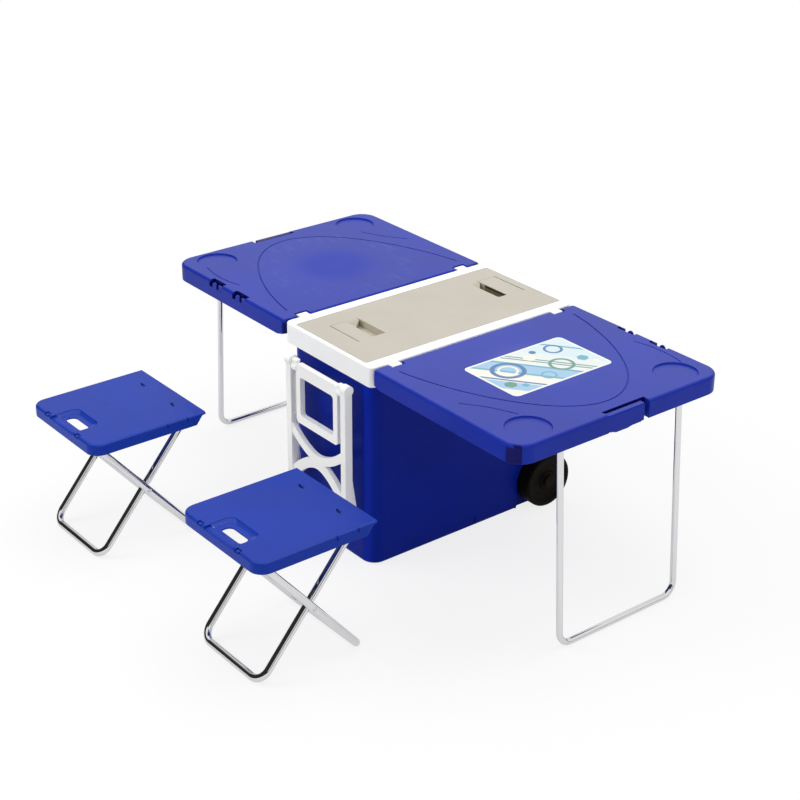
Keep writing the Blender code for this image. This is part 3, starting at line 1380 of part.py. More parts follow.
def hand_hold(seat, y, top, low, rod_z):
    """Hollow with sloping walls round the hand slot, open to a lowered bar at the front edge."""
    half = HOLLOW_HALF_WIDTH
    floor = top - HOLLOW_DEPTH
    # The hollow's floor hangs below the plate, and stays clear of the sliding rod under it
    pad_bottom = max(floor - HOLLOW_FLOOR, rod_z + ROD_RADIUS + SEAM)
    front = -y + FRONT_BAR
    join(
        seat,
        rounded_block(
            -half, half, front, HOLLOW_BACK_Y, HOLLOW_CORNER, pad_bottom, top - SEAT_PLATE / 2, sides=3
        ),
    )
    slope = HOLLOW_SLOPE
    corners = (SEAT_REAR_CORNER, SEAT_REAR_CORNER, HOLLOW_CORNER, HOLLOW_CORNER)
    cut(
        seat,
        loft(
            [
                (round_box(-half + slope, half - slope, front, HOLLOW_BACK_Y - slope, corners, 3), floor),
                (round_box(-half, half, front, HOLLOW_BACK_Y, corners, 3), top),
                (round_box(-half, half, front, HOLLOW_BACK_Y, corners, 3), top + CUT_PAST),
            ]
        ),
    )
    bar = half - slope
    cut(seat, box(-bar, bar, -y - CUT_PAST, front + CUT_PAST, top - FRONT_BAR_DROP, top + CUT_PAST))
    slot = SLOT_LENGTH / 2
    slot_half = SLOT_WIDTH / 2
    outline = round_box(-slot, slot, SLOT_Y - slot_half, SLOT_Y + slot_half, slot_half - SEAM)
    cut(seat, prism(outline, low - CUT_PAST, top + CUT_PAST))
    # Clip marks at both ends of the front bar
    for side in BOTH:
        middle = side * CLIP_MARK_X
        mark = CLIP_MARK_WIDTH / 2
        back = -y + CLIP_MARK_DEPTH
        z0 = top - CLIP_MARK_DROP
        cut(seat, box(middle - mark, middle + mark, -y - CUT_PAST, back, z0, top + CUT_PAST))


def main():
    clear_scene()
    root = pivot("folding_cooler", (0, 0, 0))
    box_shell(root)
    box_insides(root)
    rim(root)
    lid(root)
    wheels(root)
    handle(root)
    for word, turn in (("right", 0.0), ("left", math.pi)):
        frame = pivot(f"table_side_{word}", (0, 0, 0), root)
        frame.rotation_euler.z = turn
        swing = leaf(f"leaf_{word}", frame)
        leaf_leg(f"leg_{word}", frame, swing)
        hinge_pins(frame, word)
    for word, place in STOOL_PLACES.items():
        stool(word, place, root)


main()
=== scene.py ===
import math

import bmesh
import bpy
from mathutils import Matrix, Vector


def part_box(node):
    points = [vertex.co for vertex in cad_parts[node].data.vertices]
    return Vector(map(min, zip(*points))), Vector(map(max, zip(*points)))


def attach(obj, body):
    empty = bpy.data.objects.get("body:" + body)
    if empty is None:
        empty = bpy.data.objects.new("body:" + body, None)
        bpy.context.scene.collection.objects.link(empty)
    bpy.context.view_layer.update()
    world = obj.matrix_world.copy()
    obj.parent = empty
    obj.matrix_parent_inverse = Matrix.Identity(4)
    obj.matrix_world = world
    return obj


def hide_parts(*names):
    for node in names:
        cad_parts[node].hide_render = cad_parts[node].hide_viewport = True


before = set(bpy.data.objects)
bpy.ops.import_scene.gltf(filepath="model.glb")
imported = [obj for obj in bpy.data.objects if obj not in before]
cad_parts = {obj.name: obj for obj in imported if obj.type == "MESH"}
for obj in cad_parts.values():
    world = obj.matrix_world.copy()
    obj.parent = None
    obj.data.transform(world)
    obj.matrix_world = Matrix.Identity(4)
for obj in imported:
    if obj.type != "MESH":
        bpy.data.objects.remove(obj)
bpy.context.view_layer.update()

mm = 0.001
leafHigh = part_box("leaf_right")[1]
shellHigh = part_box("box_shell")[1]
rimLow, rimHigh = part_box("box_rim")
lidLow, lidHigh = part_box("lid_top")
tableTop = leafHigh.z
both = (-1, 1)
turns = (("right", 0.0), ("left", math.pi))  # the left side is the right one, turned about
print("frame loaded,", len(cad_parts), "nodes")


# View: fitted to the photograph through the printed sizes of the table
view = {
    "azimuth": math.radians(51.54),
    "elevation": math.radians(26.07),
    "roll": math.radians(0.358),
    "place": (2.3557, -1.9432, 1.7265),
    "lens": 78.06,
    "sensor": 36.0,
}


def addCamera():
    turn, lift, roll = view["azimuth"], view["elevation"], view["roll"]
    ahead = Vector((-math.sin(turn) * math.cos(lift), math.cos(turn) * math.cos(lift), -math.sin(lift)))
    right = ahead.cross(Vector((0, 0, 1))).normalized()
    up = right.cross(ahead)
    rolledRight = math.cos(roll) * right + math.sin(roll) * up
    rolledUp = math.cos(roll) * up - math.sin(roll) * right
    data = bpy.data.cameras.new("camera")
    data.lens = view["lens"]
    data.sensor_width = view["sensor"]
    camera = bpy.data.objects.new("camera", data)
    bpy.context.scene.collection.objects.link(camera)
    axes = Matrix((rolledRight, rolledUp, -ahead)).transposed().to_4x4()
    camera.matrix_world = Matrix.Translation(view["place"]) @ axes
    bpy.context.scene.camera = camera


addCamera()


# Shader sums: a wire is one socket of a node tree, and adding or multiplying wires adds Math nodes
class Wire:
    def __init__(self, tree, socket=None):
        self.tree = tree
        self.socket = socket

    def node(self, kind, settings=None, values=None, out=0):
        made = self.tree.nodes.new(kind)
        for key, value in (settings or {}).items():
            setattr(made, key, value)
        for key, value in (values or {}).items():
            if isinstance(value, Wire):
                self.tree.links.new(value.socket, made.inputs[key])
            else:
                made.inputs[key].default_value = value
        return Wire(self.tree, made.outputs[out])

    def maths(self, operation, *terms):
        return self.node("ShaderNodeMath", {"operation": operation}, dict(enumerate(terms)))

    def __add__(self, other):
        return self.maths("ADD", self, other)

    def __radd__(self, other):
        return self.maths("ADD", other, self)

    def __sub__(self, other):
        return self.maths("SUBTRACT", self, other)

    def __rsub__(self, other):
        return self.maths("SUBTRACT", other, self)

    def __mul__(self, other):
        return self.maths("MULTIPLY", self, other)

    def __rmul__(self, other):
        return self.maths("MULTIPLY", other, self)

    def __truediv__(self, other):
        return self.maths("DIVIDE", self, other)

    def __pow__(self, other):
        return self.maths("POWER", self, other)

    def size(self):
        return self.maths("ABSOLUTE", self)

    def least(self, other):
        return self.maths("MINIMUM", self, other)

    def most(self, other):
        return self.maths("MAXIMUM", self, other)

    def step(self, low, high):  # 0 below low, 1 above high, smooth between
        values = {"Value": self, "From Min": low, "From Max": high}
        return self.node("ShaderNodeMapRange", {"interpolation_type": "SMOOTHSTEP"}, values)

    def place(self):  # point on the piece as it stands at rest
        return self.node("ShaderNodeTexCoord", out=3)

    def facing(self):  # way that the surface faces at rest
        return self.node("ShaderNodeTexCoord", out=1)

    def out(self, name):  # another output of the same node
        return Wire(self.tree, self.socket.node.outputs[name])

    def axes(self):
        split = self.tree.nodes.new("ShaderNodeSeparateXYZ")
        self.tree.links.new(self.socket, split.inputs[0])
        return [Wire(self.tree, socket) for socket in split.outputs]

    def stretched(self, scale):
        return self.node("ShaderNodeVectorMath", {"operation": "MULTIPLY"}, {0: self, 1: scale})

    def noise(self, scale, detail=3.0, roughness=0.55):
        values = {"Vector": self, "Scale": scale, "Detail": detail, "Roughness": roughness}
        return self.node("ShaderNodeTexNoise", None, values)

    def blend(self, first, second):  # colours by this factor
        values = {0: self, 6: paint(first), 7: paint(second)}
        return self.node("ShaderNodeMix", {"data_type": "RGBA"}, values, out=2)


def paint(colour):
    if isinstance(colour, Wire):
        return colour
    return (*colour, 1.0)


def fromScreen(*levels):  # colour as read on a screen, to the shader's linear scale
    return tuple((c / 255 / 12.92) if c < 11 else ((c / 255 + 0.055) / 1.055) ** 2.4 for c in levels)


class Finish:
    def __init__(self, name, colour, roughness, metallic=0.0, coat=0.0, coatRoughness=0.2, specular=0.5):
        self.material = bpy.data.materials.new(name)
        self.material.use_nodes = True
        self.tree = self.material.node_tree
        self.shader = self.tree.nodes["Principled BSDF"]
        self.set("Base Color", (*colour, 1.0))
        self.set("Roughness", roughness)
        self.set("Metallic", metallic)
        self.set("Coat Weight", coat)
        self.set("Coat Roughness", coatRoughness)
        self.set("Specular IOR Level", specular)
        self.wire = Wire(self.tree)

    def set(self, socket, value):
        if isinstance(value, Wire):
            self.tree.links.new(value.socket, self.shader.inputs[socket])
        else:
            self.shader.inputs[socket].default_value = value

    def relief(self, height, depth, edge=0.0):  # surface relief, with edges softened by a small radius
        values = {"Height": height, "Distance": depth, "Strength": 1.0}
        if edge:
            values["Normal"] = self.wire.node("ShaderNodeBevel", {"samples": 6}, {"Radius": edge})
        self.set("Normal", self.wire.node("ShaderNodeBump", None, values))


def shade(colour, factor):
    return tuple(min(1.0, c * factor) for c in colour)


def upward(made, level, start=0.60, full=0.97, flat=1.0):  # sheen on faces that look up, less where flat
    up = made.wire.facing().axes()[2]
    return level * up.step(start, full) * (1.0 - (1.0 - flat) * up.step(0.93, 0.99))


# Scale, detail and roughness of each pattern
patterns = {
    "cloud": (7.0, 3.0),
    "grain": (950.0, 2.0),
    "dimples": (260.0, 2.0),
    "scratches": (160.0, 5.0, 0.7),
    "rubbed": (24.0, 5.0, 0.62),
    "leafCloud": (6.0, 4.0),
    "leafStreaks": (90.0, 6.0, 0.7),
    "leafScratches": (140.0, 6.0, 0.72),
    "leafGrain": (900.0, 2.0),
    "leafDimples": (240.0, 2.0),
    "metalCloud": (30.0, 4.0),
    "metalDrawn": (220.0, 3.0),
    "metalPits": (420.0, 3.0, 0.7),
    "labelCloud": (18.0, 3.0),
    "labelGloss": (60.0, 4.0),
    "labelGrain": (320.0, 2.0),
}
# Places in the leaves that lie in shade, as ways in from their edges and down from the top
leafShade = {
    "colour": fromScreen(8, 10, 92),
    "clipEdge": (7 * mm, 6.5 * mm),
    "clipTop": (0.2 * mm, 0.8 * mm),
    "clipUnder": (5 * mm, 7 * mm),
    "clipSkin": (0.9 * mm, 0.4 * mm),
    "clipReach": (16 * mm, 15 * mm),
    "slotFade": 1 * mm,
    "slotTop": (0.4 * mm, 1.2 * mm),
    "slotReach": (60 * mm, 64 * mm),
}
lidShade = {
    "deep": (fromScreen(50, 45, 26), fromScreen(118, 110, 84)),
    "deepAt": (4.5 * mm, 7 * mm),
    "near": fromScreen(190, 184, 166),
    "middle": (-20 * mm, 20 * mm),
    "ramp": fromScreen(178, 171, 154),
    "rampAt": (-44 * mm, -40 * mm),
    "edge": (0.2 * mm, 2.5 * mm),
}


def mouldedPlastic(
    name,
    colour,
    roughness,
    grain=0.00004,
    worn=0.12,
    edge=0.0007,
    blotch=0.10,
    specular=0.5,
    sheen=0.0,
    # corner: strength of the painted highlight, a paler base colour on the rounded upright corners
    corner=0.0,
):
    made = Finish(name, colour, roughness, coatRoughness=0.24, specular=specular)
    if sheen:
        made.set("Coat Weight", upward(made, sheen, 0.30, 0.75, 0.2))
    spot = made.wire.place()
    broad = spot.noise(*patterns["cloud"])
    fine = spot.noise(*patterns["grain"])
    scratch = spot.stretched((1.0, 0.12, 1.0)).noise(*patterns["scratches"]).step(0.60, 0.78)
    rubbed = spot.noise(*patterns["rubbed"]).step(0.55, 0.80)
    tone = broad.step(0.3, 0.7).blend(shade(colour, 1.0 - blotch), shade(colour, 1.0 + blotch))
    if corner:  # painted highlight: the base colour is made paler on the rounded upright corners, where they would catch more light
        sideways = made.wire.facing().axes()[0].size()
        bend = sideways.step(0.08, 0.30) * (1.0 - sideways.step(0.50, 0.80))
        tone = (corner * bend).blend(tone, shade(colour, 2.0))
    pale = tuple(c + (1.0 - c) * worn for c in colour)
    made.set("Base Color", (rubbed * scratch).blend(tone, pale))
    made.set("Roughness", roughness + 0.07 * (broad - 0.5) + 0.10 * rubbed - 0.06 * scratch)
    made.relief(fine + 0.35 * spot.noise(*patterns["dimples"]), grain, edge)
    return made


def leafPlastic(name, colour, middle, pale):  # table top with a rubbed middle and paler scuffs round it
    made = Finish(name, colour, 0.36, coatRoughness=0.35, specular=0.12)
    spot = made.wire.place()
    x, y, z = spot.axes()
    across = (x.size() - middle["x"]) / middle["reachX"]
    along = y / middle["reachY"]
    ring = (across * across + along * along) ** 0.5
    broad = spot.noise(*patterns["leafCloud"])
    ragged = ring + 0.25 * (broad - 0.5)
    inside = 1.0 - ragged.step(0.25, 0.62)
    edgeCoat, midCoat = middle["coat"]
    made.set("Coat Weight", upward(made, 1.0) * (edgeCoat + (midCoat - edgeCoat) * inside))
    inside = inside * middle["depth"]
    scuffed = ragged.step(0.55, 0.80) * (1.0 - ragged.step(0.85, 1.10))
    streaks = spot.stretched((0.25, 1.0, 1.0)).noise(*patterns["leafStreaks"]).step(0.48, 0.72)
    tone = broad.step(0.3, 0.7).blend(shade(colour, 0.93), shade(colour, 1.07))
    deep = inside.blend(tone, shade(colour, 1.10))
    worn = (scuffed * streaks * middle["scuff"]).blend(deep, pale)
    shadow = leafShadow(tableTop - z, y.size(), x.size(), middle["slot"])
    made.set("Base Color", shadow.blend(worn, leafShade["colour"]))
    scratch = spot.stretched((1.0, 0.10, 1.0)).noise(*patterns["leafScratches"]).step(0.60, 0.80)
    rough = 0.37 + 0.08 * (broad - 0.5) + 0.10 * scratch
    made.set("Roughness", rough - 0.05 * inside + 0.10 * scuffed * streaks)
    height = spot.noise(*patterns["leafGrain"]) + 0.3 * spot.noise(*patterns["leafDimples"])
    made.relief(height, 0.00005, 0.0008)
    return made


def leafShadow(depth, reach, out, slotEdges):  # the clips in the side edges and the latch slot in the end
    part = leafShade

    def inwards(word):
        return [leafHigh.y - edge for edge in part[word]]

    inner = (1.0 - reach.step(*inwards("clipEdge"))) * depth.step(*part["clipTop"])
    under = depth.step(*part["clipUnder"]) * (1.0 - reach.step(*inwards("clipSkin")))
    clips = inner.most(under) * reach.step(*inwards("clipReach"))
    slotIn, slotOut = (leafHigh.x - edge for edge in slotEdges)
    fade = part["slotFade"]
    slot = out.step(slotIn - fade, slotIn) * (1.0 - out.step(slotOut, slotOut + fade))
    slot = slot * depth.step(*part["slotTop"]) * (1.0 - reach.step(*part["slotReach"]))
    return clips.most(slot)


def lidPlastic(name, colour):  # the finger wells lie in their own shade, the far one deeper
    part = lidShade
    made = mouldedPlastic(name, colour, 0.46, worn=0.05, blotch=0.03, specular=0.35)
    tone = Wire(made.tree, made.shader.inputs["Base Color"].links[0].from_socket)
    x, y, z = made.wire.place().axes()
    depth = tableTop - z
    shadow = depth.step(*part["deepAt"]).blend(*part["deep"])
    well = y.step(*part["middle"]).blend(part["near"], shadow)
    ramp = (1.0 - x.step(*part["rampAt"])).blend(well, part["ramp"])
    made.set("Base Color", depth.step(*part["edge"]).blend(tone, ramp))
    return made


def polishedMetal(name, colour, roughness, streak, edge=0.0):
    made = Finish(name, colour, roughness, metallic=1.0)
    spot = made.wire.place()
    cloud = spot.noise(*patterns["metalCloud"])
    drawn = spot.stretched((6.0, 6.0, 0.5)).noise(*patterns["metalDrawn"])
    pits = spot.noise(*patterns["metalPits"]).step(0.70, 0.78)
    made.set("Roughness", roughness + streak * (cloud - 0.5) + 0.25 * pits)
    made.set("Base Color", pits.blend(colour, shade(colour, 0.72)))
    made.relief(drawn + 0.2 * cloud, 0.000004, edge)
    return made


blue = fromScreen(20, 44, 158)
finishes = {
    "shell": mouldedPlastic(
        "satin_blue_shell",
        fromScreen(6, 33, 143),
        0.42,
        grain=0.00007,
        worn=0.02,
        blotch=0.06,
        specular=0.07,
        # painted highlight on the rounded upright corners
        corner=0.45,
    ),
    "leafRight": leafPlastic(
        "satin_blue_leaf_right",
        blue,
        {
            "x": 0.30,
            "reachX": 0.19,
            "reachY": 0.19,
            "depth": 0.3,
            "scuff": 0.10,
            "coat": (0.42, 0.7),
            "slot": (19 * mm, 12 * mm),
        },
        fromScreen(84, 98, 178),
    ),
    "leafLeft": leafPlastic(
        "satin_blue_leaf_left",
        blue,
        {
            "x": 0.31,
            "reachX": 0.17,
            "reachY": 0.17,
            "depth": 1.0,
            "scuff": 0.35,
            "coat": (0.32, 0.04),
            "slot": (19 * mm, -1 * mm),
        },
        fromScreen(96, 112, 186),
    ),
    "seat": mouldedPlastic(
        "satin_blue_seat", fromScreen(14, 52, 160), 0.36, worn=0.03, blotch=0.06, specular=0.12, sheen=0.6
    ),
    "white": mouldedPlastic(
        "white_plastic", fromScreen(253, 253, 250), 0.34, grain=0.00003, worn=0.0, blotch=0.015
    ),
    "inner": mouldedPlastic(
        "white_liner", fromScreen(240, 240, 238), 0.28, grain=0.00001, worn=0.0, blotch=0.01
    ),
    "lid": lidPlastic("warm_grey_lid", fromScreen(189, 183, 171)),
    "chrome": polishedMetal("chromed_tube", (0.70, 0.70, 0.71), 0.05, 0.03),
    "steel": polishedMetal("plated_steel", (0.62, 0.62, 0.64), 0.28, 0.12, 0.0003),
    "tyre": mouldedPlastic(
        "black_wheel", fromScreen(15, 10, 4), 0.6, grain=0.00012, worn=0.01, blotch=0.2, specular=0.08
    ),
    "foam": mouldedPlastic(
        "rigid_foam", fromScreen(236, 228, 196), 0.85, grain=0.0004, worn=0.0, blotch=0.06
    ),
}
print("finishes made:", len(finishes))


# Mesh tools
def arcPoints(centre, radius, start, end, steps):  # degrees, both ends kept
    angles = [math.radians(start + (end - start) * i / steps) for i in range(steps + 1)]
    return [(centre[0] + radius * math.cos(a), centre[1] + radius * math.sin(a)) for a in angles]


def quarter(steps):  # angles from 0 to 90 degrees, both kept
    return [math.radians(90 * k / steps) for k in range(steps + 1)]


def circle(steps):
    return [2 * math.pi * k / steps for k in range(steps)]


def span(side, near, far):  # two places on one side, the lower one first
    return sorted((side * near, side * far))


def heading(line, i):  # way of a line at its point i
    return (Vector(line[min(i + 1, len(line) - 1)]) - Vector(line[max(i - 1, 0)])).normalized()


def roundRect(x0, x1, y0, y1, radii, steps=8):  # radii at x0y0, x1y0, x1y1, x0y1
    if not isinstance(radii, (tuple, list)):
        radii = (radii,) * 4
    corners = ((x0, y0, 1, 1, 180), (x1, y0, -1, 1, 270), (x1, y1, -1, -1, 0), (x0, y1, 1, -1, 90))
    points = []
    for (x, y, inX, inY, start), radius in zip(corners, radii):
        points += arcPoints((x + inX * radius, y + inY * radius), radius, start, start + 90, steps)
    return points


def skin(bm, rings):
    for low, high in zip(rings, rings[1:]):
        for i in range(len(low)):
            j = (i + 1) % len(low)
            bm.faces.new((low[i], low[j], high[j], high[i]))


def loft(sections, along="Z", closed=False):  # closed joins the last outline to the first
    spots = {
        "X": lambda u, v, w: (w, u, v),
        "Y": lambda u, v, w: (u, w, v),
        "Z": lambda u, v, w: (u, v, w),
    }
    bm = bmesh.new()
    rings = [[bm.verts.new(spots[along](u, v, w)) for u, v in outline] for outline, w in sections]
    skin(bm, rings + rings[:1] if closed else rings)
    if not closed:
        bm.faces.new(rings[0])
        bm.faces.new(rings[-1])
    return bm


def prism(outline, low, high, along="Z"):
    return loft([(outline, low), (outline, high)], along)


def block(x0, x1, y0, y1, z0, z1):
    return prism([(x0, y0), (x1, y0), (x1, y1), (x0, y1)], z0, z1)


def rod(centre, radius, low, high, along, steps=40):
    return prism(arcPoints(centre, radius, 0, 360 * (steps - 1) / steps, steps - 1), low, high, along)


def roundedBlock(x0, x1, y0, y1, radii, z0, z1, bottom=0.0, top=0.0, steps=6, sides=8):
    # Upright block with rounded edges
    bends = quarter(steps)
    foot, head = (bends if radius else bends[:1] for radius in (bottom, top))
    sections = [(bottom - bottom * math.sin(t), z0 + bottom - bottom * math.cos(t)) for t in foot]
    sections += [(top - top * math.cos(t), z1 - top + top * math.sin(t)) for t in head]
    if not isinstance(radii, (tuple, list)):
        radii = (radii,) * 4
    rings = []
    for inset, z in sections:
        corner = [max(radius - inset, 0.3 * mm) for radius in radii]
        rings.append((roundRect(x0 + inset, x1 - inset, y0 + inset, y1 - inset, corner, sides), z))
    return loft(rings)


def turned(profile, centre, along="X", steps=72, closed=True):
    # Ring turned about an axis from points of (place, radius); not closed means capped ends
    u, v = centre
    sections = [([(u + r * math.cos(a), v + r * math.sin(a)) for a in circle(steps)], w) for w, r in profile]
    return loft(sections, along, closed)


def bentRoute(corners, radius, steps=14):
    corners = [Vector(point) for point in corners]
    route = [corners[0]]
    for before, corner, after in zip(corners, corners[1:], corners[2:]):
        back = (before - corner).normalized()
        ahead = (after - corner).normalized()
        half = back.angle(ahead) / 2
        centre = corner + (back + ahead).normalized() * (radius / math.sin(half))
        start = corner + back * (radius / math.tan(half))
        axis = back.cross(ahead).normalized()
        sweep = -(math.pi - 2 * half)
        for i in range(steps + 1):
            route.append(centre + Matrix.Rotation(sweep * i / steps, 3, axis) @ (start - centre))
    route.append(corners[-1])
    return route


def tube(route, radius, across, sides=32, caps=6):
    # Round bar along a flat route, with half balls at its ends
    across = Vector(across).normalized()
    last = len(route) - 1
    rings = []
    for i, point in enumerate(route):
        before = (route[i] - route[i - 1]).normalized() if i > 0 else Vector((0, 0, 0))
        after = (route[i + 1] - route[i]).normalized() if i < last else Vector((0, 0, 0))
        rings.append((Vector(point), (before + after).normalized(), radius))
    turns = quarter(caps)[1:-1]
    firstPoint, firstAhead, _ = rings[0]
    lastPoint, lastAhead, _ = rings[-1]
    start = [
        (firstPoint - firstAhead * radius * math.sin(a), firstAhead, radius * math.cos(a))
        for a in reversed(turns)
    ]
    end = [(lastPoint + lastAhead * radius * math.sin(a), lastAhead, radius * math.cos(a)) for a in turns]
    bm = bmesh.new()
    loops = []
    for point, ahead, size in start + rings + end:
        side = ahead.cross(across).normalized()
        spots = [point + size * (math.cos(a) * across + math.sin(a) * side) for a in circle(sides)]
        loops.append([bm.verts.new(spot) for spot in spots])
    skin(bm, loops)
    tips = ((loops[0], firstPoint - firstAhead * radius), (loops[-1], lastPoint + lastAhead * radius))
    for loop, tip in tips:
        pole = bm.verts.new(tip)
        for i in range(sides):
            bm.faces.new((loop[i], loop[(i + 1) % sides], pole))
    return bm


def groove(line, width, depth, top, sides=12):
    # Tool for a round-bottomed groove along a line on a level face
    radius = (width * width / 4 + depth * depth) / (2 * depth)
    bm = bmesh.new()
    loops = []
    for i, point in enumerate(line):
        ahead = heading(line, i)
        side = Vector((-ahead.y, ahead.x, 0))
        centre = Vector((point[0], point[1], top + radius - depth))
        spots = [centre + radius * (math.cos(a) * side + Vector((0, 0, math.sin(a)))) for a in circle(sides)]
        loops.append([bm.verts.new(spot) for spot in spots])
    skin(bm, loops)
    bm.faces.new(loops[0])
    bm.faces.new(loops[-1])
    return bm


def smoothLine(points, each=8):  # curve through points, as a Catmull-Rom spline
    found = []
    last = len(points) - 1
    for i in range(last):
        a, b = Vector(points[max(i - 1, 0)]), Vector(points[i])
        c, d = Vector(points[i + 1]), Vector(points[min(i + 2, last)])
        for k in range(each):
            t = k / each
            curve = 2 * b + (c - a) * t + (2 * a - 5 * b + 4 * c - d) * t**2
            found.append(0.5 * (curve + (3 * b - a - 3 * c + d) * t**3))
    found.append(Vector(points[-1]))
    return [tuple(point) for point in found]


def band(line, width):
    left = []
    right = []
    for i, point in enumerate(line):
        ahead = heading(line, i)
        normal = Vector((-ahead.y, ahead.x)) * width / 2
        left.append((point[0] + normal.x, point[1] + normal.y))
        right.append((point[0] - normal.x, point[1] - normal.y))
    return left + right[::-1]


def newPiece(name, bm):
    bmesh.ops.recalc_face_normals(bm, faces=bm.faces)
    mesh = bpy.data.meshes.new(name)
    bm.to_mesh(mesh)
    bm.free()
    piece = bpy.data.objects.new(name, mesh)
    bpy.context.scene.collection.objects.link(piece)
    return piece


def reshape(piece, bm, operation):
    tool = newPiece(f"{piece.name}_tool_{len(piece.modifiers)}", bm)
    tool.hide_render = True
    step = piece.modifiers.new(tool.name, "BOOLEAN")
    step.operation = operation
    step.solver = "EXACT"
    step.object = tool


def cut(piece, bm):
    reshape(piece, bm, "DIFFERENCE")


def join(piece, bm):
    reshape(piece, bm, "UNION")


def settle(piece, finish, body, nodes, turn=0.0, sharp=28, fillet=0.0):
    # Bakes the cuts into the mesh, shades it and hands it to its body
    tools = [step.object for step in piece.modifiers if step.type == "BOOLEAN"]
    if tools:
        bpy.context.view_layer.update()
        reading = piece.evaluated_get(bpy.context.evaluated_depsgraph_get())
        baked = bpy.data.meshes.new_from_object(reading)
        piece.modifiers.clear()
        piece.data = baked
        for tool in tools:
            bpy.data.objects.remove(tool, do_unlink=True)
        bm = bmesh.new()
        bm.from_mesh(baked)
        bmesh.ops.remove_doubles(bm, verts=bm.verts, dist=0.00002)
        bmesh.ops.dissolve_degenerate(bm, edges=bm.edges, dist=0.00001)
        bm.to_mesh(baked)
        bm.free()
    mesh = piece.data
    if turn:
        mesh.transform(Matrix.Rotation(turn, 4, "Z"))
    mesh.materials.clear()
    mesh.materials.append(finish.material)
    if fillet:
        edge = piece.modifiers.new("fillet", "BEVEL")
        edge.width = fillet
        edge.segments = 2
        edge.limit_method = "ANGLE"
        edge.angle_limit = math.radians(40)
    mesh.shade_smooth()
    mesh.set_sharp_from_angle(angle=math.radians(sharp))
    weighted = piece.modifiers.new("even_shading", "WEIGHTED_NORMAL")
    weighted.keep_sharp = True
    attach(piece, body)
    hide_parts(*nodes)
    return piece


def dress(finish, *nodes):  # a CAD node that stays, with a finished surface
    for name in nodes:
        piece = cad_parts[name]
        if not piece.material_slots:
            piece.data.materials.append(finish.material)
        for holder in piece.material_slots:
            holder.material = finish.material


# Tube sizes, read by the leaves too
tubes = {
    "radius": 6 * mm,
    "stoolRadius": 7.2 * mm,
    "bend": 26 * mm,
    "legPivotX": 517.8 * mm,
    "legPivotZ": 390 * mm,
    "legHalf": 142 * mm,
    "legSplay": math.radians(3.5),
    "stoolAngle": math.radians(50),
    "stoolRodZ": 246 * mm,
    "stoolPivotY": 96 * mm,
    "frontHalf": 90 * mm,
    "rearHalf": 105 * mm,
    "pinHole": 2.9 * mm,
    "rodHole": 3.3 * mm,
    "rivetHole": 2.8 * mm,
}


# Table leaves
leafParts = {
    "inner": 137 * mm,
    "thickness": 35 * mm,
    "rise": 7 * mm,
    "plate": 4.4 * mm,
    "wall": 3 * mm,
    "corner": 38 * mm,
    "innerCorner": 9 * mm,
    "edgeRound": 6 * mm,
    "cupRadius": 40.5 * mm,
    "cupLip": 1.6 * mm,
    "cupDepth": 3 * mm,
    "cupFoot": ((0, 1.6 * mm), (0.25 * mm, 0.7 * mm), (1 * mm, 0)),
    "cupFlare": 0.8,
    "cupFromEnd": 53 * mm,
    "cupFromSide": 69 * mm,
    "grooveStart": 23 * mm,
    "grooveCrown": 43 * mm,
    "grooveSide": 32 * mm,
    "grooveWidth": 2.9 * mm,
    "grooveDepth": 1.7 * mm,
    "hingeX": 141 * mm,
    "hingeDrop": 24 * mm,
    "hingeY": 196 * mm,
    "notchLength": 30 * mm,
    "notchReach": 16 * mm,
    "knuckle": 5 * mm,
    "pin": 2.5 * mm,
    "ear": 4 * mm,
    "ribWall": 2.4 * mm,
    "ribHeight": 9 * mm,
    "ribEnds": (45 * mm, 66 * mm),
    "longRibs": (-84 * mm, -28 * mm, 28 * mm, 84 * mm),
    "crossRibs": (120 * mm, 210 * mm),
    "crossHalf": 118 * mm,
    "barRoom": 152 * mm,
    "chamfer": 152 * mm / 6,
    "footRound": 1 * mm,
    "roomRound": 3 * mm,
    "roomCorner": 2 * mm,
    "earRise": 0.5 * mm,
    "legRoom": 9 * mm,
    "legWall": 2 * mm,
    "lintel": 6.8 * mm,
    "tailWidth": 2.8 * mm,
    "tailDepth": 1.2 * mm,
    "clips": (155 * mm, 237 * mm),
    "tailNear": ((336, -211), (352, -199), (378, -181), (405, -168), (428, -158)),
    "tailFar": ((335, 212), (352, 217), (381, 221), (420, 220), (452, 214)),
    "labelRecess": 0.45 * mm,
}
label = {
    "x": (234 * mm, 378 * mm),
    "y": (-117 * mm, 118 * mm),
    "corner": 11 * mm,
    "thickness": 0.3 * mm,
    "gap": 0.5 * mm,
    "soft": 0.005,
}


def leafGroove():
    part = leafParts
    start = part["inner"] + part["grooveStart"]
    crown = leafHigh.x - part["grooveCrown"]
    half = leafHigh.y - part["grooveSide"]
    line = []
    for i in range(61):
        turn = math.radians(6 + 168 * i / 60)
        line.append((start + (crown - start) * math.sin(turn) ** 1.42, -half * math.cos(turn)))
    return line


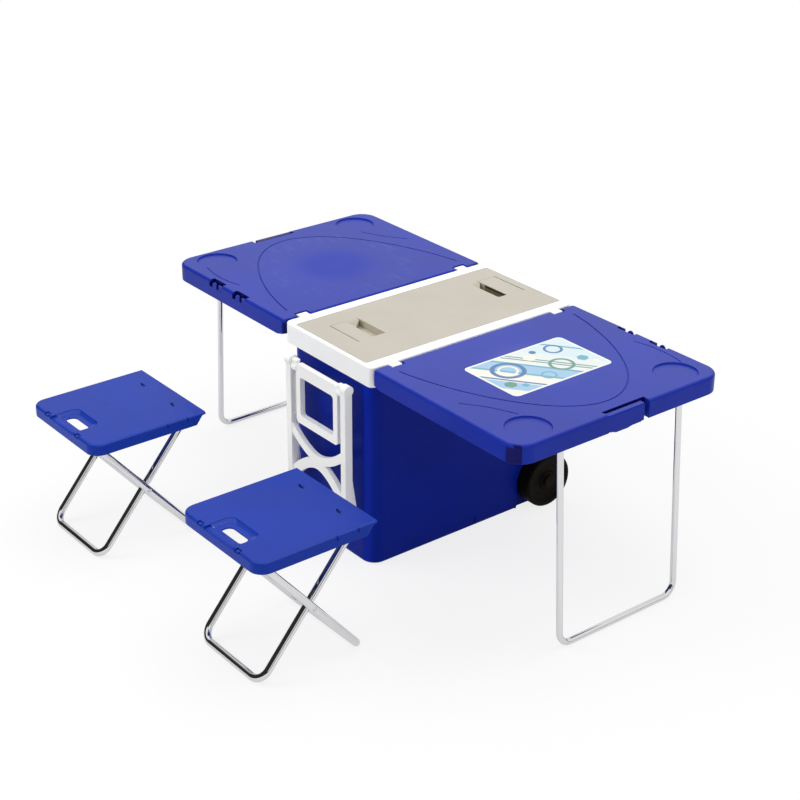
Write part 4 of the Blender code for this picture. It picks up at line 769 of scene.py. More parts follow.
def makeLeaf(word, turn):
    part = leafParts
    end, side, low = leafHigh.x, leafHigh.y, tableTop - part["thickness"]
    inner, plate, wall = part["inner"], part["plate"], part["wall"]
    under, lift = tableTop - plate, low + part["rise"]
    corners = (part["innerCorner"], part["corner"], part["corner"], part["innerCorner"])
    rounds = {"bottom": part["footRound"], "top": part["edgeRound"], "sides": 14}
    body = roundedBlock(inner, end, -side, side, corners, low, tableTop, **rounds)
    piece = newPiece(f"table_leaf_{word}", body)
    radii = tuple(max(radius - wall, part["roomCorner"]) for radius in corners)
    room = (inner + wall, end - wall, -side + wall, side - wall)
    cut(piece, roundedBlock(*room, radii, low - wall, under, top=part["roomRound"], sides=14))
    bar = part["barRoom"]
    cut(piece, block(inner - wall, inner + 2 * wall, -bar, bar, low - wall, tableTop - part["lintel"]))
    out, foot = inner - wall, inner + part["chamfer"]
    chamfer = [(out, low - wall), (foot, low - wall), (foot, low), (inner, lift), (out, lift)]
    cut(piece, prism(chamfer, -side - wall, side + wall, "Y"))
    for way in both:
        cutHinge(piece, way, inner, low, under)
        legY, room = way * tubes["legHalf"], part["legRoom"]
        ends = (end - wall - 1 * mm, end - part["legWall"])
        cut(piece, block(*ends, legY - room, legY + room, low - wall, lift))
        cutCup(piece, (end - part["cupFromEnd"], way * (side - part["cupFromSide"])), under)
    half, levels = part["ribWall"] / 2, (under - part["ribHeight"], under + plate / 3)
    start, stop = part["ribEnds"]
    for at in part["longRibs"]:
        join(piece, block(inner + start, end - stop, at - half, at + half, *levels))
    across = part["crossHalf"]
    for at in part["crossRibs"]:
        join(piece, block(inner + at - half, inner + at + half, -across, across, *levels))
    cutLatch(piece, end, low, under)
    for at in part["clips"]:
        cutClip(piece, inner + at, side)
    cut(piece, groove(leafGroove(), part["grooveWidth"], part["grooveDepth"], tableTop))
    for tail in ("tailNear", "tailFar"):
        line = smoothLine([(x * mm, y * mm) for x, y in part[tail]])
        cut(piece, groove(line, part["tailWidth"], part["tailDepth"], tableTop))
    if word == "right":
        x0, x1 = label["x"]
        y0, y1 = label["y"]
        gap, floor = label["gap"], tableTop - part["labelRecess"]
        spread = (x0 - gap, x1 + gap, y0 - gap, y1 + gap)
        cut(piece, roundedBlock(*spread, label["corner"] + gap, floor, tableTop + wall, sides=10))
    finish = finishes["leafRight" if word == "right" else "leafLeft"]
    settle(piece, finish, f"leaf_{word}", [f"leaf_{word}"], turn)


def cutHinge(piece, way, inner, low, under):
    # Notch for a lug of the rim, between two ears that hold the hinge pin
    part = leafParts
    hingeAt = (part["hingeX"], tableTop - part["hingeDrop"])
    ear, wall, reach = part["ear"], part["wall"], inner + part["notchReach"]
    earFoot, earTop = low + part["rise"] + part["earRise"], under + part["plate"] / 2
    notch = sorted(way * part["hingeY"] + k * part["notchLength"] / 2 for k in both)
    for at in (notch[0] - ear / 2, notch[1] + ear / 2):
        outline = [
            (hingeAt[0], hingeAt[1] - part["knuckle"]),
            (reach + 2 * ear, earFoot),
            (reach + 2 * ear, earTop),
            (inner + 1 * mm, earTop),
            *arcPoints(hingeAt, part["knuckle"], 170, 260, 8),
        ]
        join(piece, prism(outline, at - ear / 2, at + ear / 2, "Y"))
    join(piece, block(reach, reach + ear, notch[0] - ear / 2, notch[1] + ear / 2, earFoot, earTop))
    levels = (low - wall, tableTop + wall)
    cut(piece, roundedBlock(inner - 4 * ear, reach, *notch, part["roomCorner"], *levels, sides=5))
    cut(piece, rod(hingeAt, part["pin"], notch[0] - 2 * ear, notch[1] + 2 * ear, "Y"))


def cutCup(piece, cup, under):
    part = leafParts
    radius, lip, depth, flare = part["cupRadius"], part["cupLip"], part["cupDepth"], part["cupFlare"]
    join(piece, rod(cup, radius + part["wall"], under - depth, under + part["plate"] / 3, "Z", 72))
    profile = [(tableTop - depth + rise, radius - inset) for rise, inset in part["cupFoot"]]
    for t in quarter(6)[1:]:
        profile.append((tableTop - lip + lip * math.sin(t), radius + lip * flare * (1 - math.cos(t))))
    profile.append((tableTop + depth, radius + flare * lip))
    cut(piece, turned(profile, cup, "Z", 96, closed=False))


latch = {
    "near": -42 * mm,
    "far": 46 * mm,
    "slot": 12 * mm,
    "drop": 2 * mm,
    "depth": 11 * mm,
    "gap": 6 * mm,
    "wall": 3 * mm,
    "skin": 1.5 * mm,
    "spread": 2 * mm,
    "foot": 4 * mm,
    "slope": 4 * mm,
    "groove": (5 * mm, 9 * mm),
    "hook": ((-32, 6), (-27, -1), (-19, -3), (9, -3), (14, -1.5), (20, -1), (40, -0.8), (40, 6)),
    "hookDepth": (4 * mm, 0.3 * mm),
}


def cutLatch(piece, end, low, under):
    # Spring tongue in the end wall, with its hook below, a slot at its free end and a housing behind
    part = latch
    near, far, wall, slotEnd = part["near"], part["far"], part["wall"], part["far"] + part["slot"]
    front, outer, past = end - part["depth"], end - part["skin"], end + 1 * mm
    back = front - part["gap"]
    top, more = tableTop - part["drop"], part["spread"]
    over, down = tableTop + 1 * mm, low - 1 * mm
    foot, head = low + 1 * mm, under + 1 * mm
    join(piece, block(front - wall, outer, near - more, far + more, low + part["foot"], head))
    free = far + 0.5 * mm
    lowered = [(near, over), (near + part["slope"], top), (free, top), (free, over)]
    cut(piece, prism(lowered, front - wall, past, "X"))
    cut(piece, block(back, front, near, far + 1 * mm, down, over))
    cut(piece, block(back, past, far, slotEnd, down, over))
    start, stop = part["groove"]
    cut(piece, block(end - wall - 1 * mm, past, near + start, near + stop, down, low + 2 * mm))
    join(piece, block(back - wall, back + 0.3 * mm, near - wall, slotEnd + wall, foot, head))
    join(piece, block(back, outer, slotEnd - 0.3 * mm, slotEnd + wall, foot, head))
    hook = [(y * mm, low + level * mm) for y, level in part["hook"]]
    join(piece, prism(hook, *(end - depth for depth in part["hookDepth"]), "X"))


# Blocks of a clip, in mm: from and to along the edge, in from the edge, and down from the top
clip = {
    "half": 22 * mm,
    "depth": 13 * mm,
    "corners": (2.5 * mm, 2.5 * mm, 0.5 * mm, 0.5 * mm),
    "finger": (-3 * mm, 11 * mm),
    "fingerDrop": (16 * mm, 8 * mm),
    "skin": (3 * mm, 0.2 * mm),
    "blocks": (
        (-23, -11, 3, 0.2, 16, 2.5),
        (-24, 24, 15, 12.8, 20, 2),
        (-24, 24, 15, 1, 20, 17),
        (-24, -22, 15, 1, 20, 2),
        (22, 24, 15, 1, 20, 2),
    ),
}


def cutClip(piece, at, side):
    # Clip in a side edge: a spring finger between two slots, with a hole in the top behind it
    part = clip
    half, depth = part["half"], part["depth"]
    hole = roundRect(at - half, at + half, side - depth, side + 1 * mm, part["corners"], 5)
    cut(piece, prism(hole, tableTop - depth, tableTop + 1 * mm))
    left, right = part["finger"]
    foot, head = (tableTop - drop for drop in part["fingerDrop"])
    bend = arcPoints((at + (left + right) / 2, head), (right - left) / 2, 180, 0, 10)[1:-1]
    finger = [(at + left, foot), (at + left, head), *bend, (at + right, head), (at + right, foot)]
    join(piece, prism(finger, *(side - edge for edge in part["skin"]), "Y"))
    for x0, x1, y0, y1, z0, z1 in part["blocks"]:
        ends = (at + x0 * mm, at + x1 * mm, side - y0 * mm, side - y1 * mm)
        join(piece, block(*ends, tableTop - z0 * mm, tableTop - z1 * mm))


for word, turn in turns:
    makeLeaf(word, turn)
print("leaves made")


# Label on the right leaf: a plain print of slanted bands, rings and hexagons in soft colours
def printed(tone, gap, half, colour):
    soft = label["soft"]
    return (1.0 - gap.step(half - soft, half + soft)).blend(tone, colour)


def labelPrint():
    x0, x1 = label["x"]
    y0, y1 = label["y"]
    made = Finish("label_print", (0.8, 0.8, 0.76), 0.28, coat=0.3, coatRoughness=0.12)
    spot = made.wire.place()
    x, y, _ = spot.axes()
    height = x1 - x0
    u = (y - y0) / height  # along and across the label, both in label heights
    v = (x1 - x) / height
    length = (y1 - y0) / height
    cream, sky, aqua = fromScreen(236, 232, 220), fromScreen(150, 190, 218), fromScreen(100, 164, 188)
    deep, green, pale = fromScreen(62, 112, 162), fromScreen(92, 142, 128), fromScreen(206, 224, 230)
    slant = 0.80 * u + 0.60 * v
    tone = (slant / length + 0.10 * spot.noise(*patterns["labelCloud"])).step(0.2, 1.3).blend(cream, pale)
    bands = (
        (0.30, 0.100, sky),
        (0.44, 0.018, deep),
        (0.80, 0.150, aqua),
        (0.80, 0.105, sky),
        (1.06, 0.014, green),
        (1.12, 0.014, green),
        (1.44, 0.120, pale),
        (1.60, 0.020, aqua),
    )
    for at, half, colour in bands:
        tone = printed(tone, (slant - at).size(), half, colour)
    rings = (
        (0.42, 0.62, 0.20, 0.030, deep),
        (0.42, 0.62, 0.12, 0.016, cream),
        (1.08, 0.36, 0.15, 0.022, green),
        (0.74, 0.22, 0.09, 0.014, aqua),
        (1.30, 0.76, 0.11, 0.018, deep),
    )
    for atU, atV, radius, half, colour in rings:
        du, dv = u - atU, v - atV
        gap = ((du * du + dv * dv) ** 0.5 - radius).size()
        tone = printed(tone, gap, half, colour)
    hexagons = (
        (0.18, 0.30, 0.075, green),
        (0.32, 0.18, 0.045, aqua),
        (0.88, 0.74, 0.080, cream),
        (1.02, 0.84, 0.045, deep),
        (1.42, 0.34, 0.070, aqua),
        (1.50, 0.18, 0.040, cream),
    )
    for atU, atV, radius, colour in hexagons:
        du, dv = (u - atU).size(), (v - atV).size()
        gap = (0.866 * du + 0.5 * dv).most(dv)
        tone = printed(tone, gap, radius, colour)
    margin = (length / 2 - (u - length / 2).size()).least(0.5 - (v - 0.5).size())
    tone = margin.step(0.030, 0.036).blend(fromScreen(234, 235, 230), tone)
    made.set("Base Color", tone)
    made.set("Roughness", 0.26 + 0.12 * spot.noise(*patterns["labelGloss"]))
    made.relief(spot.noise(*patterns["labelGrain"]), 0.00001)
    return made


def makeLabel():
    x0, x1 = label["x"]
    y0, y1 = label["y"]
    low = tableTop - leafParts["labelRecess"] + 0.03 * mm
    levels = (low, low + label["thickness"])
    sheet = roundedBlock(x0, x1, y0, y1, label["corner"], *levels, top=0.08 * mm, steps=2, sides=10)
    piece = newPiece("label", sheet)
    settle(piece, labelPrint(), "leaf_right", [])


makeLabel()


# U legs and stool frames in bent tube
stoolPlaces = {"near": (225 * mm, -514 * mm), "far": (-300 * mm, -521 * mm)}


def makeLeg(word, turn):
    part = tubes
    radius, splay, half = part["radius"], part["legSplay"], part["legHalf"]
    top = (part["legPivotX"], part["legPivotZ"])
    foot = top[0] + (top[1] - radius) * math.tan(splay)
    corners = [(top[0], -half, top[1]), (foot, -half, radius), (foot, half, radius), (top[0], half, top[1])]
    across = (math.cos(splay), 0, math.sin(splay))
    piece = newPiece(f"chrome_leg_{word}", tube(bentRoute(corners, part["bend"]), radius, across))
    for way in both:
        cut(piece, rod(top, part["pinHole"], way * half - 2 * radius, way * half + 2 * radius, "Y", 24))
    settle(piece, finishes["chrome"], f"leg_{word}", [f"leg_{word}"], turn)


def makeStoolFrames(word):
    part = tubes
    atX, atY = stoolPlaces[word]
    radius, thick, high = part["radius"], part["stoolRadius"], part["stoolRodZ"]
    run = (high - radius) / math.tan(part["stoolAngle"])
    rear, front = atY + part["stoolPivotY"], atY + part["stoolPivotY"] - run
    middle = ((rear + front) / 2, (high + radius) / 2)
    lean = part["stoolAngle"]
    for which, half, topY, footY, way in (
        ("front", part["frontHalf"], rear, front, -1),
        ("rear", part["rearHalf"], front, rear, 1),
    ):
        corners = [
            (atX - half, topY, high),
            (atX - half, footY, thick),
            (atX + half, footY, thick),
            (atX + half, topY, high),
        ]
        across = (0, way * math.sin(lean), math.cos(lean))
        piece = newPiece(f"stool_{word}_{which}_tube", tube(bentRoute(corners, part["bend"]), thick, across))
        for side in both:
            ends = (atX + side * half - 2 * radius, atX + side * half + 2 * radius)
            cut(piece, rod((topY, high), part["rodHole"], *ends, "X", 24))
            cut(piece, rod(middle, part["rivetHole"], *ends, "X", 24))
        settle(piece, finishes["chrome"], f"stool_{word}_{which}", [f"stool_{word}_{which}_frame"])


for word, turn in turns:
    makeLeg(word, turn)
for word in stoolPlaces:
    makeStoolFrames(word)
print("tubes made")


# Stool seats
seatParts = {
    "width": 240 * mm,
    "depth": 243 * mm,
    "top": 258 * mm,
    "thickness": 22.5 * mm,
    "plate": 4 * mm,
    "wall": 3.2 * mm,
    "corner": 26 * mm,
    "edgeRound": 5 * mm,
    "rearLean": 22 * mm,
    "rearLip": 8 * mm,
    "rearWall": 2.2 * mm,
    "pocketHalf": 44 * mm,
    "pocketBack": -62 * mm,
    "slotX": (-24 * mm, 35 * mm),
    "slotY": (-100 * mm, -79 * mm),
    "holeX": 55.5 * mm,
    "holeY": 88 * mm,
    "holeLong": 9.5 * mm,
    "holeWide": 3.4 * mm,
    "holeBend": (1.2 * mm, 0.8 * mm),
    "clipX": 57 * mm,
    "steps": (36 * mm, 80 * mm),
    "stepSize": (1.8 * mm, 3 * mm, 5 * mm),
    "footRound": 1 * mm,
    "rearCorner": 2 * mm,
    "rodRoom": 0.7 * mm,
    "sunk": 1.3 * mm,
    "clipNotch": (7 * mm, 8 * mm, 5 * mm),
    "clipBlock": (4 * mm, 1.2 * mm, 6.5 * mm, 6 * mm, 1.6 * mm),
    "pad": (7 * mm, 12 * mm, 8.7 * mm, 3 * mm),
    "scoop": (10 * mm, 9.5 * mm, 0.9, 6 * mm, 6.4 * mm),
    "barRound": (8 * mm, 5.5 * mm, 6 * mm, 2.6 * mm),
    "barStep": (14 * mm, 3.4 * mm),
    "bearing": (10 * mm, 8 * mm, 6 * mm),
    "bore": 3.4 * mm,
    "stop": (24 * mm, 3 * mm, 4 * mm),
    "scoopCorners": (6 * mm, 6 * mm, 15 * mm, 15 * mm),
    "slotCorners": (6 * mm, 6 * mm, 11 * mm, 11 * mm),
}


def makeSeat(word):
    part = seatParts
    x, y = part["width"] / 2, part["depth"] / 2
    top, wall = part["top"], part["wall"]
    low, under = top - part["thickness"], top - part["plate"]
    corners = (part["corner"], part["corner"], part["rearCorner"], part["rearCorner"])
    # The front is rounded over wide, and the rear keeps a sharp lip
    rounds = {"bottom": part["footRound"], "top": part["edgeRound"], "sides": 10}
    body = roundedBlock(-x, x, -y, y + part["edgeRound"], corners, low, top, **rounds)
    piece = newPiece(f"stool_{word}_seat_shell", body)
    rear, rearWall, lip = y - part["rearLean"], part["rearWall"], y - part["rearLip"]
    past, over, down = y + 20 * mm, top + 1 * mm, low - 1 * mm
    lean = [(past, over), (y, over), (y, under), (lip, under - 1.5 * mm), (rear, down), (past, down)]
    cut(piece, prism(lean, -x - 1 * mm, x + 1 * mm, "X"))
    inner = part["corner"] - wall
    radii = (inner, inner, 3 * mm, 3 * mm)
    room = (-x + wall, x - wall, -y + wall)
    foot, head = (roundRect(*room, edge - rearWall, radii) for edge in (rear, lip))
    cut(piece, loft([(foot, down), (head, under)]))
    for side in both:
        holdRods(piece, part, side, under + part["sunk"])
        bend, dip = part["holeBend"]
        hole = [
            (
                side * part["holeX"] + part["holeLong"] * math.cos(t) + bend * math.sin(2 * t),
                part["holeY"] + part["holeWide"] * math.sin(t) - dip * math.cos(t),
            )
            for t in circle(28)
        ]
        cut(piece, prism(hole, low, over))
        inwards, length, deep = part["stepSize"]
        for at in part["steps"]:
            cut(piece, block(*span(side, x - inwards, x + 1 * mm), at, at + length, under - deep, over))
        # Clip marks at the front edge: a small block standing in a square notch
        at = side * part["clipX"]
        half, inwards, deep = part["clipNotch"]
        cut(piece, block(at - half, at + half, -y - 1 * mm, -y + inwards, top - deep, over))
        half, y0, y1, foot, head = part["clipBlock"]
        join(piece, block(at - half, at + half, -y + y0, -y + y1, top - foot, top - head))
    seatPocket(piece, part, y, top, low)
    settleAt(piece, finishes["seat"], f"stool_{word}", [f"stool_{word}_seat"], stoolPlaces[word])


def holdRods(piece, part, side, sunk):
    # Bearing of the pivot rod, and the stop of the slide rod
    rodAt = (tubes["stoolPivotY"], tubes["stoolRodZ"])
    outer = tubes["frontHalf"] - tubes["stoolRadius"] - part["rodRoom"]
    width, half, radius = part["bearing"]
    x0, x1 = span(side, outer - width, outer)
    bearing = [(rodAt[0] - half, sunk), *arcPoints(rodAt, radius, 180, 360, 14), (rodAt[0] + half, sunk)]
    join(piece, prism(bearing, x0, x1, "X"))
    cut(piece, rod(rodAt, part["bore"], x0 - 1 * mm, x1 + 1 * mm, "X", 28))
    width, thick, drop = part["stop"]
    run = (tubes["stoolRodZ"] - tubes["radius"]) / math.tan(tubes["stoolAngle"])
    stop = tubes["stoolPivotY"] - run - tubes["rodHole"]
    join(piece, block(*span(side, outer - width, outer), stop - thick, stop, rodAt[1] - drop, sunk))


def seatPocket(piece, part, y, top, low):
    # Hand hold: scooped hollow whose walls fall to the slot, open to the rounded front bar
    half, back = part["pocketHalf"], part["pocketBack"]
    y0, y1 = part["slotY"]
    edge, over = half - 2 * mm, top + 1 * mm
    front, corner, foot, head = part["pad"]
    join(piece, roundedBlock(-edge, edge, y0 - front, back + 1 * mm, corner, top - foot, top - head))
    drawn, start, share, deep, rise = part["scoop"]
    sections = []
    for i in range(9):
        t = i / 8
        inset = drawn * (1 - math.sin(t * math.pi / 2))
        ends = (-half + inset, half - inset, -y + start + share * inset, back - share * inset)
        sections.append((roundRect(*ends, part["scoopCorners"], 8), top - deep + rise * t))
    cut(piece, loft(sections))
    wide, skirt, sunk, rise = part["barRound"]
    inside, shelf = part["barStep"]
    bar = [(-y - 1 * mm, over), (-y - 1 * mm, top - skirt)]
    bar += [(-y + wide - wide * math.cos(t), top - sunk + rise * math.sin(t)) for t in quarter(6)]
    bar += [(-y + inside, top - shelf), (-y + inside, over)]
    cut(piece, prism(bar, -edge, edge, "X"))
    slot = roundRect(*part["slotX"], y0, y1, part["slotCorners"], 8)
    cut(piece, prism(slot, low - 1 * mm, over))


def settleAt(piece, finish, body, nodes, place):
    tools = [step.object for step in piece.modifiers]
    for obj in [piece] + tools:
        obj.data.transform(Matrix.Translation((place[0], place[1], 0)))
    settle(piece, finish, body, nodes)


for word in stoolPlaces:
    makeSeat(word)
print("seats made")


# Box shell, rim and lid
boxParts = {
    "corner": 30 * mm,
    "footRound": 8 * mm,
    "wall": 3 * mm,
    "archGap": 4 * mm,
    "wheelRadius": 56 * mm,
    "wheelY": 188 * mm,
    "wheelWidth": 34 * mm,
    "wheelOuter": 153.5 * mm,
    "bossRadius": 11 * mm,
    "bossDepth": 12 * mm,
    "axleHole": 4.4 * mm,
    "rimCorner": 12 * mm,
    "rimRound": 3 * mm,
    "archLip": (0.8 * mm, 1.2 * mm),
    "holdDepth": 1.6 * mm,
    "hold": (-30 * mm, 18 * mm, -6 * mm, 12 * mm, 3 * mm, 6),
    "dimple": (3 * mm, 20 * mm, 6 * mm, 25 * mm, 6 * mm, 8),
    "lugLength": 24 * mm,
    "lugReach": 11 * mm,
    "lugRound": 2.5 * mm,
    "lugFoot": 4 * mm,
    "lugTop": (4 * mm, 2.8 * mm, 0.3 * mm),
    "lugShort": 2 * mm,
    "lugHole": 2.4 * mm,
    "lidGap": 0.7 * mm,
    "linerGap": 0.3 * mm,
    "hingeOut": 15 * mm,
    "rimReach": 134.5 * mm,
    "rimLip": 5.5 * mm,
    "hingeRoom": 214 * mm,
    "lidCorner": 5 * mm,
    "lidSkirt": 9.2 * mm,
    "lidPlate": 3.6 * mm,
    "linerX": 98 * mm,
    "linerY": 226 * mm,
    "linerCorner": 14 * mm,
    "ledge": 12 * mm,
}
archWall = boxParts["wheelOuter"] - boxParts["wheelWidth"] - boxParts["archGap"]
wheelAt = (boxParts["wheelY"], boxParts["wheelRadius"])


def archRoom(side, innerX, outerX, radius, past=0.0):
    rear = shellHigh.y - boxParts["wall"] / 2 + past
    low = boxParts["wall"] / 2 - past
    rise = math.degrees(math.acos(min(1.0, (rear - wheelAt[0]) / radius)))
    outline = [(rear, low)] + arcPoints(wheelAt, radius, rise, 180, 48) + [(wheelAt[0] - radius, low)]
    return prism(outline, *span(side, innerX, outerX), "X")


def makeShell():
    part = boxParts
    x, y, high, wall = shellHigh.x, shellHigh.y, shellHigh.z, part["wall"]
    radius = part["wheelRadius"] + part["archGap"]
    piece = newPiece(
        "cooler_body", roundedBlock(-x, x, -y, y, part["corner"], 0, high, bottom=part["footRound"], sides=16)
    )
    room = (-x + wall, x - wall, -y + wall, y - wall)
    corner, foot = part["corner"] - wall, part["footRound"] - wall
    cut(piece, roundedBlock(*room, corner, wall, high + wall, bottom=foot, sides=16))
    for side in both:
        join(piece, archRoom(side, archWall - wall, x - wall / 2, radius + wall))
        ends = span(side, archWall - part["bossDepth"], archWall - wall / 2)
        join(piece, rod(wheelAt, part["bossRadius"], *ends, "X"))
        cut(piece, archRoom(side, archWall, x + wall, radius, past=part["wheelRadius"]))
        # Rounded lip round the arch
        lipIn, lipUp = part["archLip"]
        cut(piece, archRoom(side, x - lipIn, x + wall, radius + lipUp, past=part["wheelRadius"]))
        ends = span(side, archWall - part["bossDepth"] + wall, archWall + wall)
        cut(piece, rod(wheelAt, part["axleHole"], *ends, "X", 28))
        # Finger hold in the bottom edge, with the dimple that the leaf's hook snaps into
        ends = span(side, x - part["holdDepth"], x + wall)
        for outline in (part["hold"], part["dimple"]):
            cut(piece, prism(roundRect(*outline), *ends, "X"))
    settle(piece, finishes["shell"], "box", ["box_shell"])


def makeRim():
    part = boxParts
    x, y = rimHigh.x - part["lugReach"] - part["hingeOut"], rimHigh.y
    low, reach = rimLow.z, part["rimReach"]
    rounds = {"bottom": 0.8 * mm, "top": part["rimRound"], "sides": 10}
    body = roundedBlock(-reach, reach, -y, y, part["rimCorner"], low, tableTop, **rounds)
    piece = newPiece("white_rim", body)
    hinge = (leafParts["hingeX"], tableTop - leafParts["hingeDrop"])
    bend, length, room = part["lugRound"], part["lugLength"], part["hingeRoom"]
    tip = hinge[0] + part["lugReach"]
    foot, bent, head = (tableTop - drop for drop in part["lugTop"])
    lug = [
        (x - part["lugFoot"], hinge[1] - leafParts["knuckle"]),
        *arcPoints(hinge, leafParts["knuckle"] + 1 * mm, -90, 0, 8),
        (tip - bend, foot),
        *arcPoints((tip - 2 * bend, bent), bend, 0, 90, 6),
        (x - part["rimRound"] - 1 * mm, head),
    ]
    under = tableTop - part["rimLip"]
    for side in both:
        cut(piece, block(*span(side, x, reach + 1 * mm), -room, room, low - 1 * mm, under))
        for end in both:
            at = end * leafParts["hingeY"]
            ends = (at - length / 2, at + length / 2 - part["lugShort"])
            join(piece, prism([(side * px, pz) for px, pz in lug], *ends, "Y"))
            cut(piece, rod((side * hinge[0], hinge[1]), part["lugHole"], at - length, at + length, "Y", 24))
    gap = part["lidGap"]
    spread = (lidLow.x - gap, lidHigh.x + gap, lidLow.y - gap, lidHigh.y + gap)
    levels = (tableTop - part["ledge"], tableTop + 1 * mm)
    cut(piece, roundedBlock(*spread, part["lidCorner"] + gap, *levels, sides=6))
    lx, ly = part["linerX"] + part["linerGap"], part["linerY"] + part["linerGap"]
    cut(piece, roundedBlock(-lx, lx, -ly, ly, part["linerCorner"], low - 5 * mm, tableTop, sides=8))
    settle(piece, finishes["white"], "box", ["box_rim"], fillet=0.35 * mm)


lidParts = {
    "slotX": (-57 * mm, 24 * mm),
    "slotSlant": 25 * mm,
    "slotY": {"near": (-155.5 * mm, -126.5 * mm), "far": (153.2 * mm, 174.6 * mm)},
    "rampX": -70 * mm,
    "rampDepth": 5 * mm,
    "flapX": (-64 * mm, 27 * mm),
    "flapY": {"near": -190 * mm, "far": 218 * mm},
    "lineWidth": 2.5 * mm,
    "lineDepth": 2.2 * mm,
    "hairWidth": 0.7 * mm,
    "wellDepth": 14 * mm,
    "wellWall": 2 * mm,
    "wellCorner": 3 * mm,
    "skirt": 4 * mm,
}


def makeLid():
    part = lidParts
    x, y = lidHigh.x, lidHigh.y
    bottom = tableTop - boxParts["lidSkirt"]
    piece = newPiece(
        "lid_panel",
        roundedBlock(-x, x, -y, y, boxParts["lidCorner"], bottom, tableTop, top=1 * mm, steps=4, sides=8),
    )
    skirt = part["skirt"]
    under = tableTop - boxParts["lidPlate"]
    room = (-x + skirt, x - skirt, -y + skirt, y - skirt)
    cut(piece, roundedBlock(*room, boxParts["lidCorner"], bottom - skirt, under))
    for word in ("near", "far"):
        fingerWell(piece, part, word, under)
    settle(piece, finishes["lid"], "lid", ["lid_top"], fillet=0.3 * mm)


def fingerWell(piece, part, word, under):
    # Deep slot with a ramp at its left end, beside a flap marked off by thin lines
    x0, x1 = part["slotX"]
    y0, y1 = part["slotY"][word]
    edge, over = part["wellWall"], tableTop + 1 * mm
    floor = tableTop - part["wellDepth"]
    ramp, sunk = part["rampX"], tableTop - part["rampDepth"]
    spread = (x0 - edge, x1 + edge, y0 - edge, y1 + edge)
    corner = part["wellCorner"]
    join(piece, roundedBlock(*spread, corner, floor - edge, under + 1 * mm))
    join(piece, block(ramp, x0 + edge, y0 - edge, y1 + edge, sunk - edge, under + 1 * mm))
    slant = x0 + part["slotSlant"]
    cut(piece, prism([(slant, y0), (x1 - corner, y0), (x1, y0 + corner), (x1, y1), (x0, y1)], floor, over))
    slope = [(ramp, tableTop + 0.1 * mm), (ramp, over), (slant, over), (slant, sunk)]
    cut(piece, prism(slope, y0 + 0.5 * mm, y1 - 0.5 * mm, "Y"))
    line = part["flapY"][word]
    left, right = part["flapX"]
    half = part["lineWidth"] / 2
    cut(piece, block(left, right, line - half, line + half, tableTop - part["lineDepth"], over))
    hair = part["hairWidth"]
    low, high = sorted((line, y1 if word == "far" else y0))
    cut(piece, block(left, left + hair, low, high, tableTop - 2 * hair, over))


makeShell()
makeRim()
makeLid()
print("box made")


# Pull handle
handleParts = {
    "frontY": -273 * mm,
    "depth": 16 * mm,
    "outerX": 93 * mm,
    "rail": 14.5 * mm,
    "topZ": 374 * mm,
    "pivot": (-267.5 * mm, 72 * mm),
    "pinHole": 3.4 * mm,
    "braceWidth": (17 * mm, 20.5 * mm),
    "braceDepth": 9 * mm,
    "braceBack": 2 * mm,
    "knobEnds": (1 * mm, 1.5 * mm),
    "upperEnds": 232 * mm,
    "lowerEnds": 122 * mm,
    "middle": 184 * mm,
    "spread": 5 * mm,
    "gripHalf": 65 * mm,
    "gripZ": (244 * mm, 366 * mm),
    "windowHalf": 52 * mm,
    "windowZ": (260.5 * mm, 341 * mm),
    "knob": 10.5 * mm,
    "knobDrop": 9 * mm,
    "lump": 15.5 * mm,
    "gusset": ((-1, 200), (2, 175), (6, 148), (10, 122), (11, 104), (8, 93), (-1, 85)),
    "gripDepth": 11 * mm,
    "channel": (3 * mm, 12 * mm, 252 * mm, 338 * mm),
    "channelDepth": 3.5 * mm,
    "channelRound": 2.5 * mm,
    "curve": 1.8,
    "setBack": 3 * mm,
    "gripPivotZ": 355 * mm,
    "boss": 8 * mm,
}


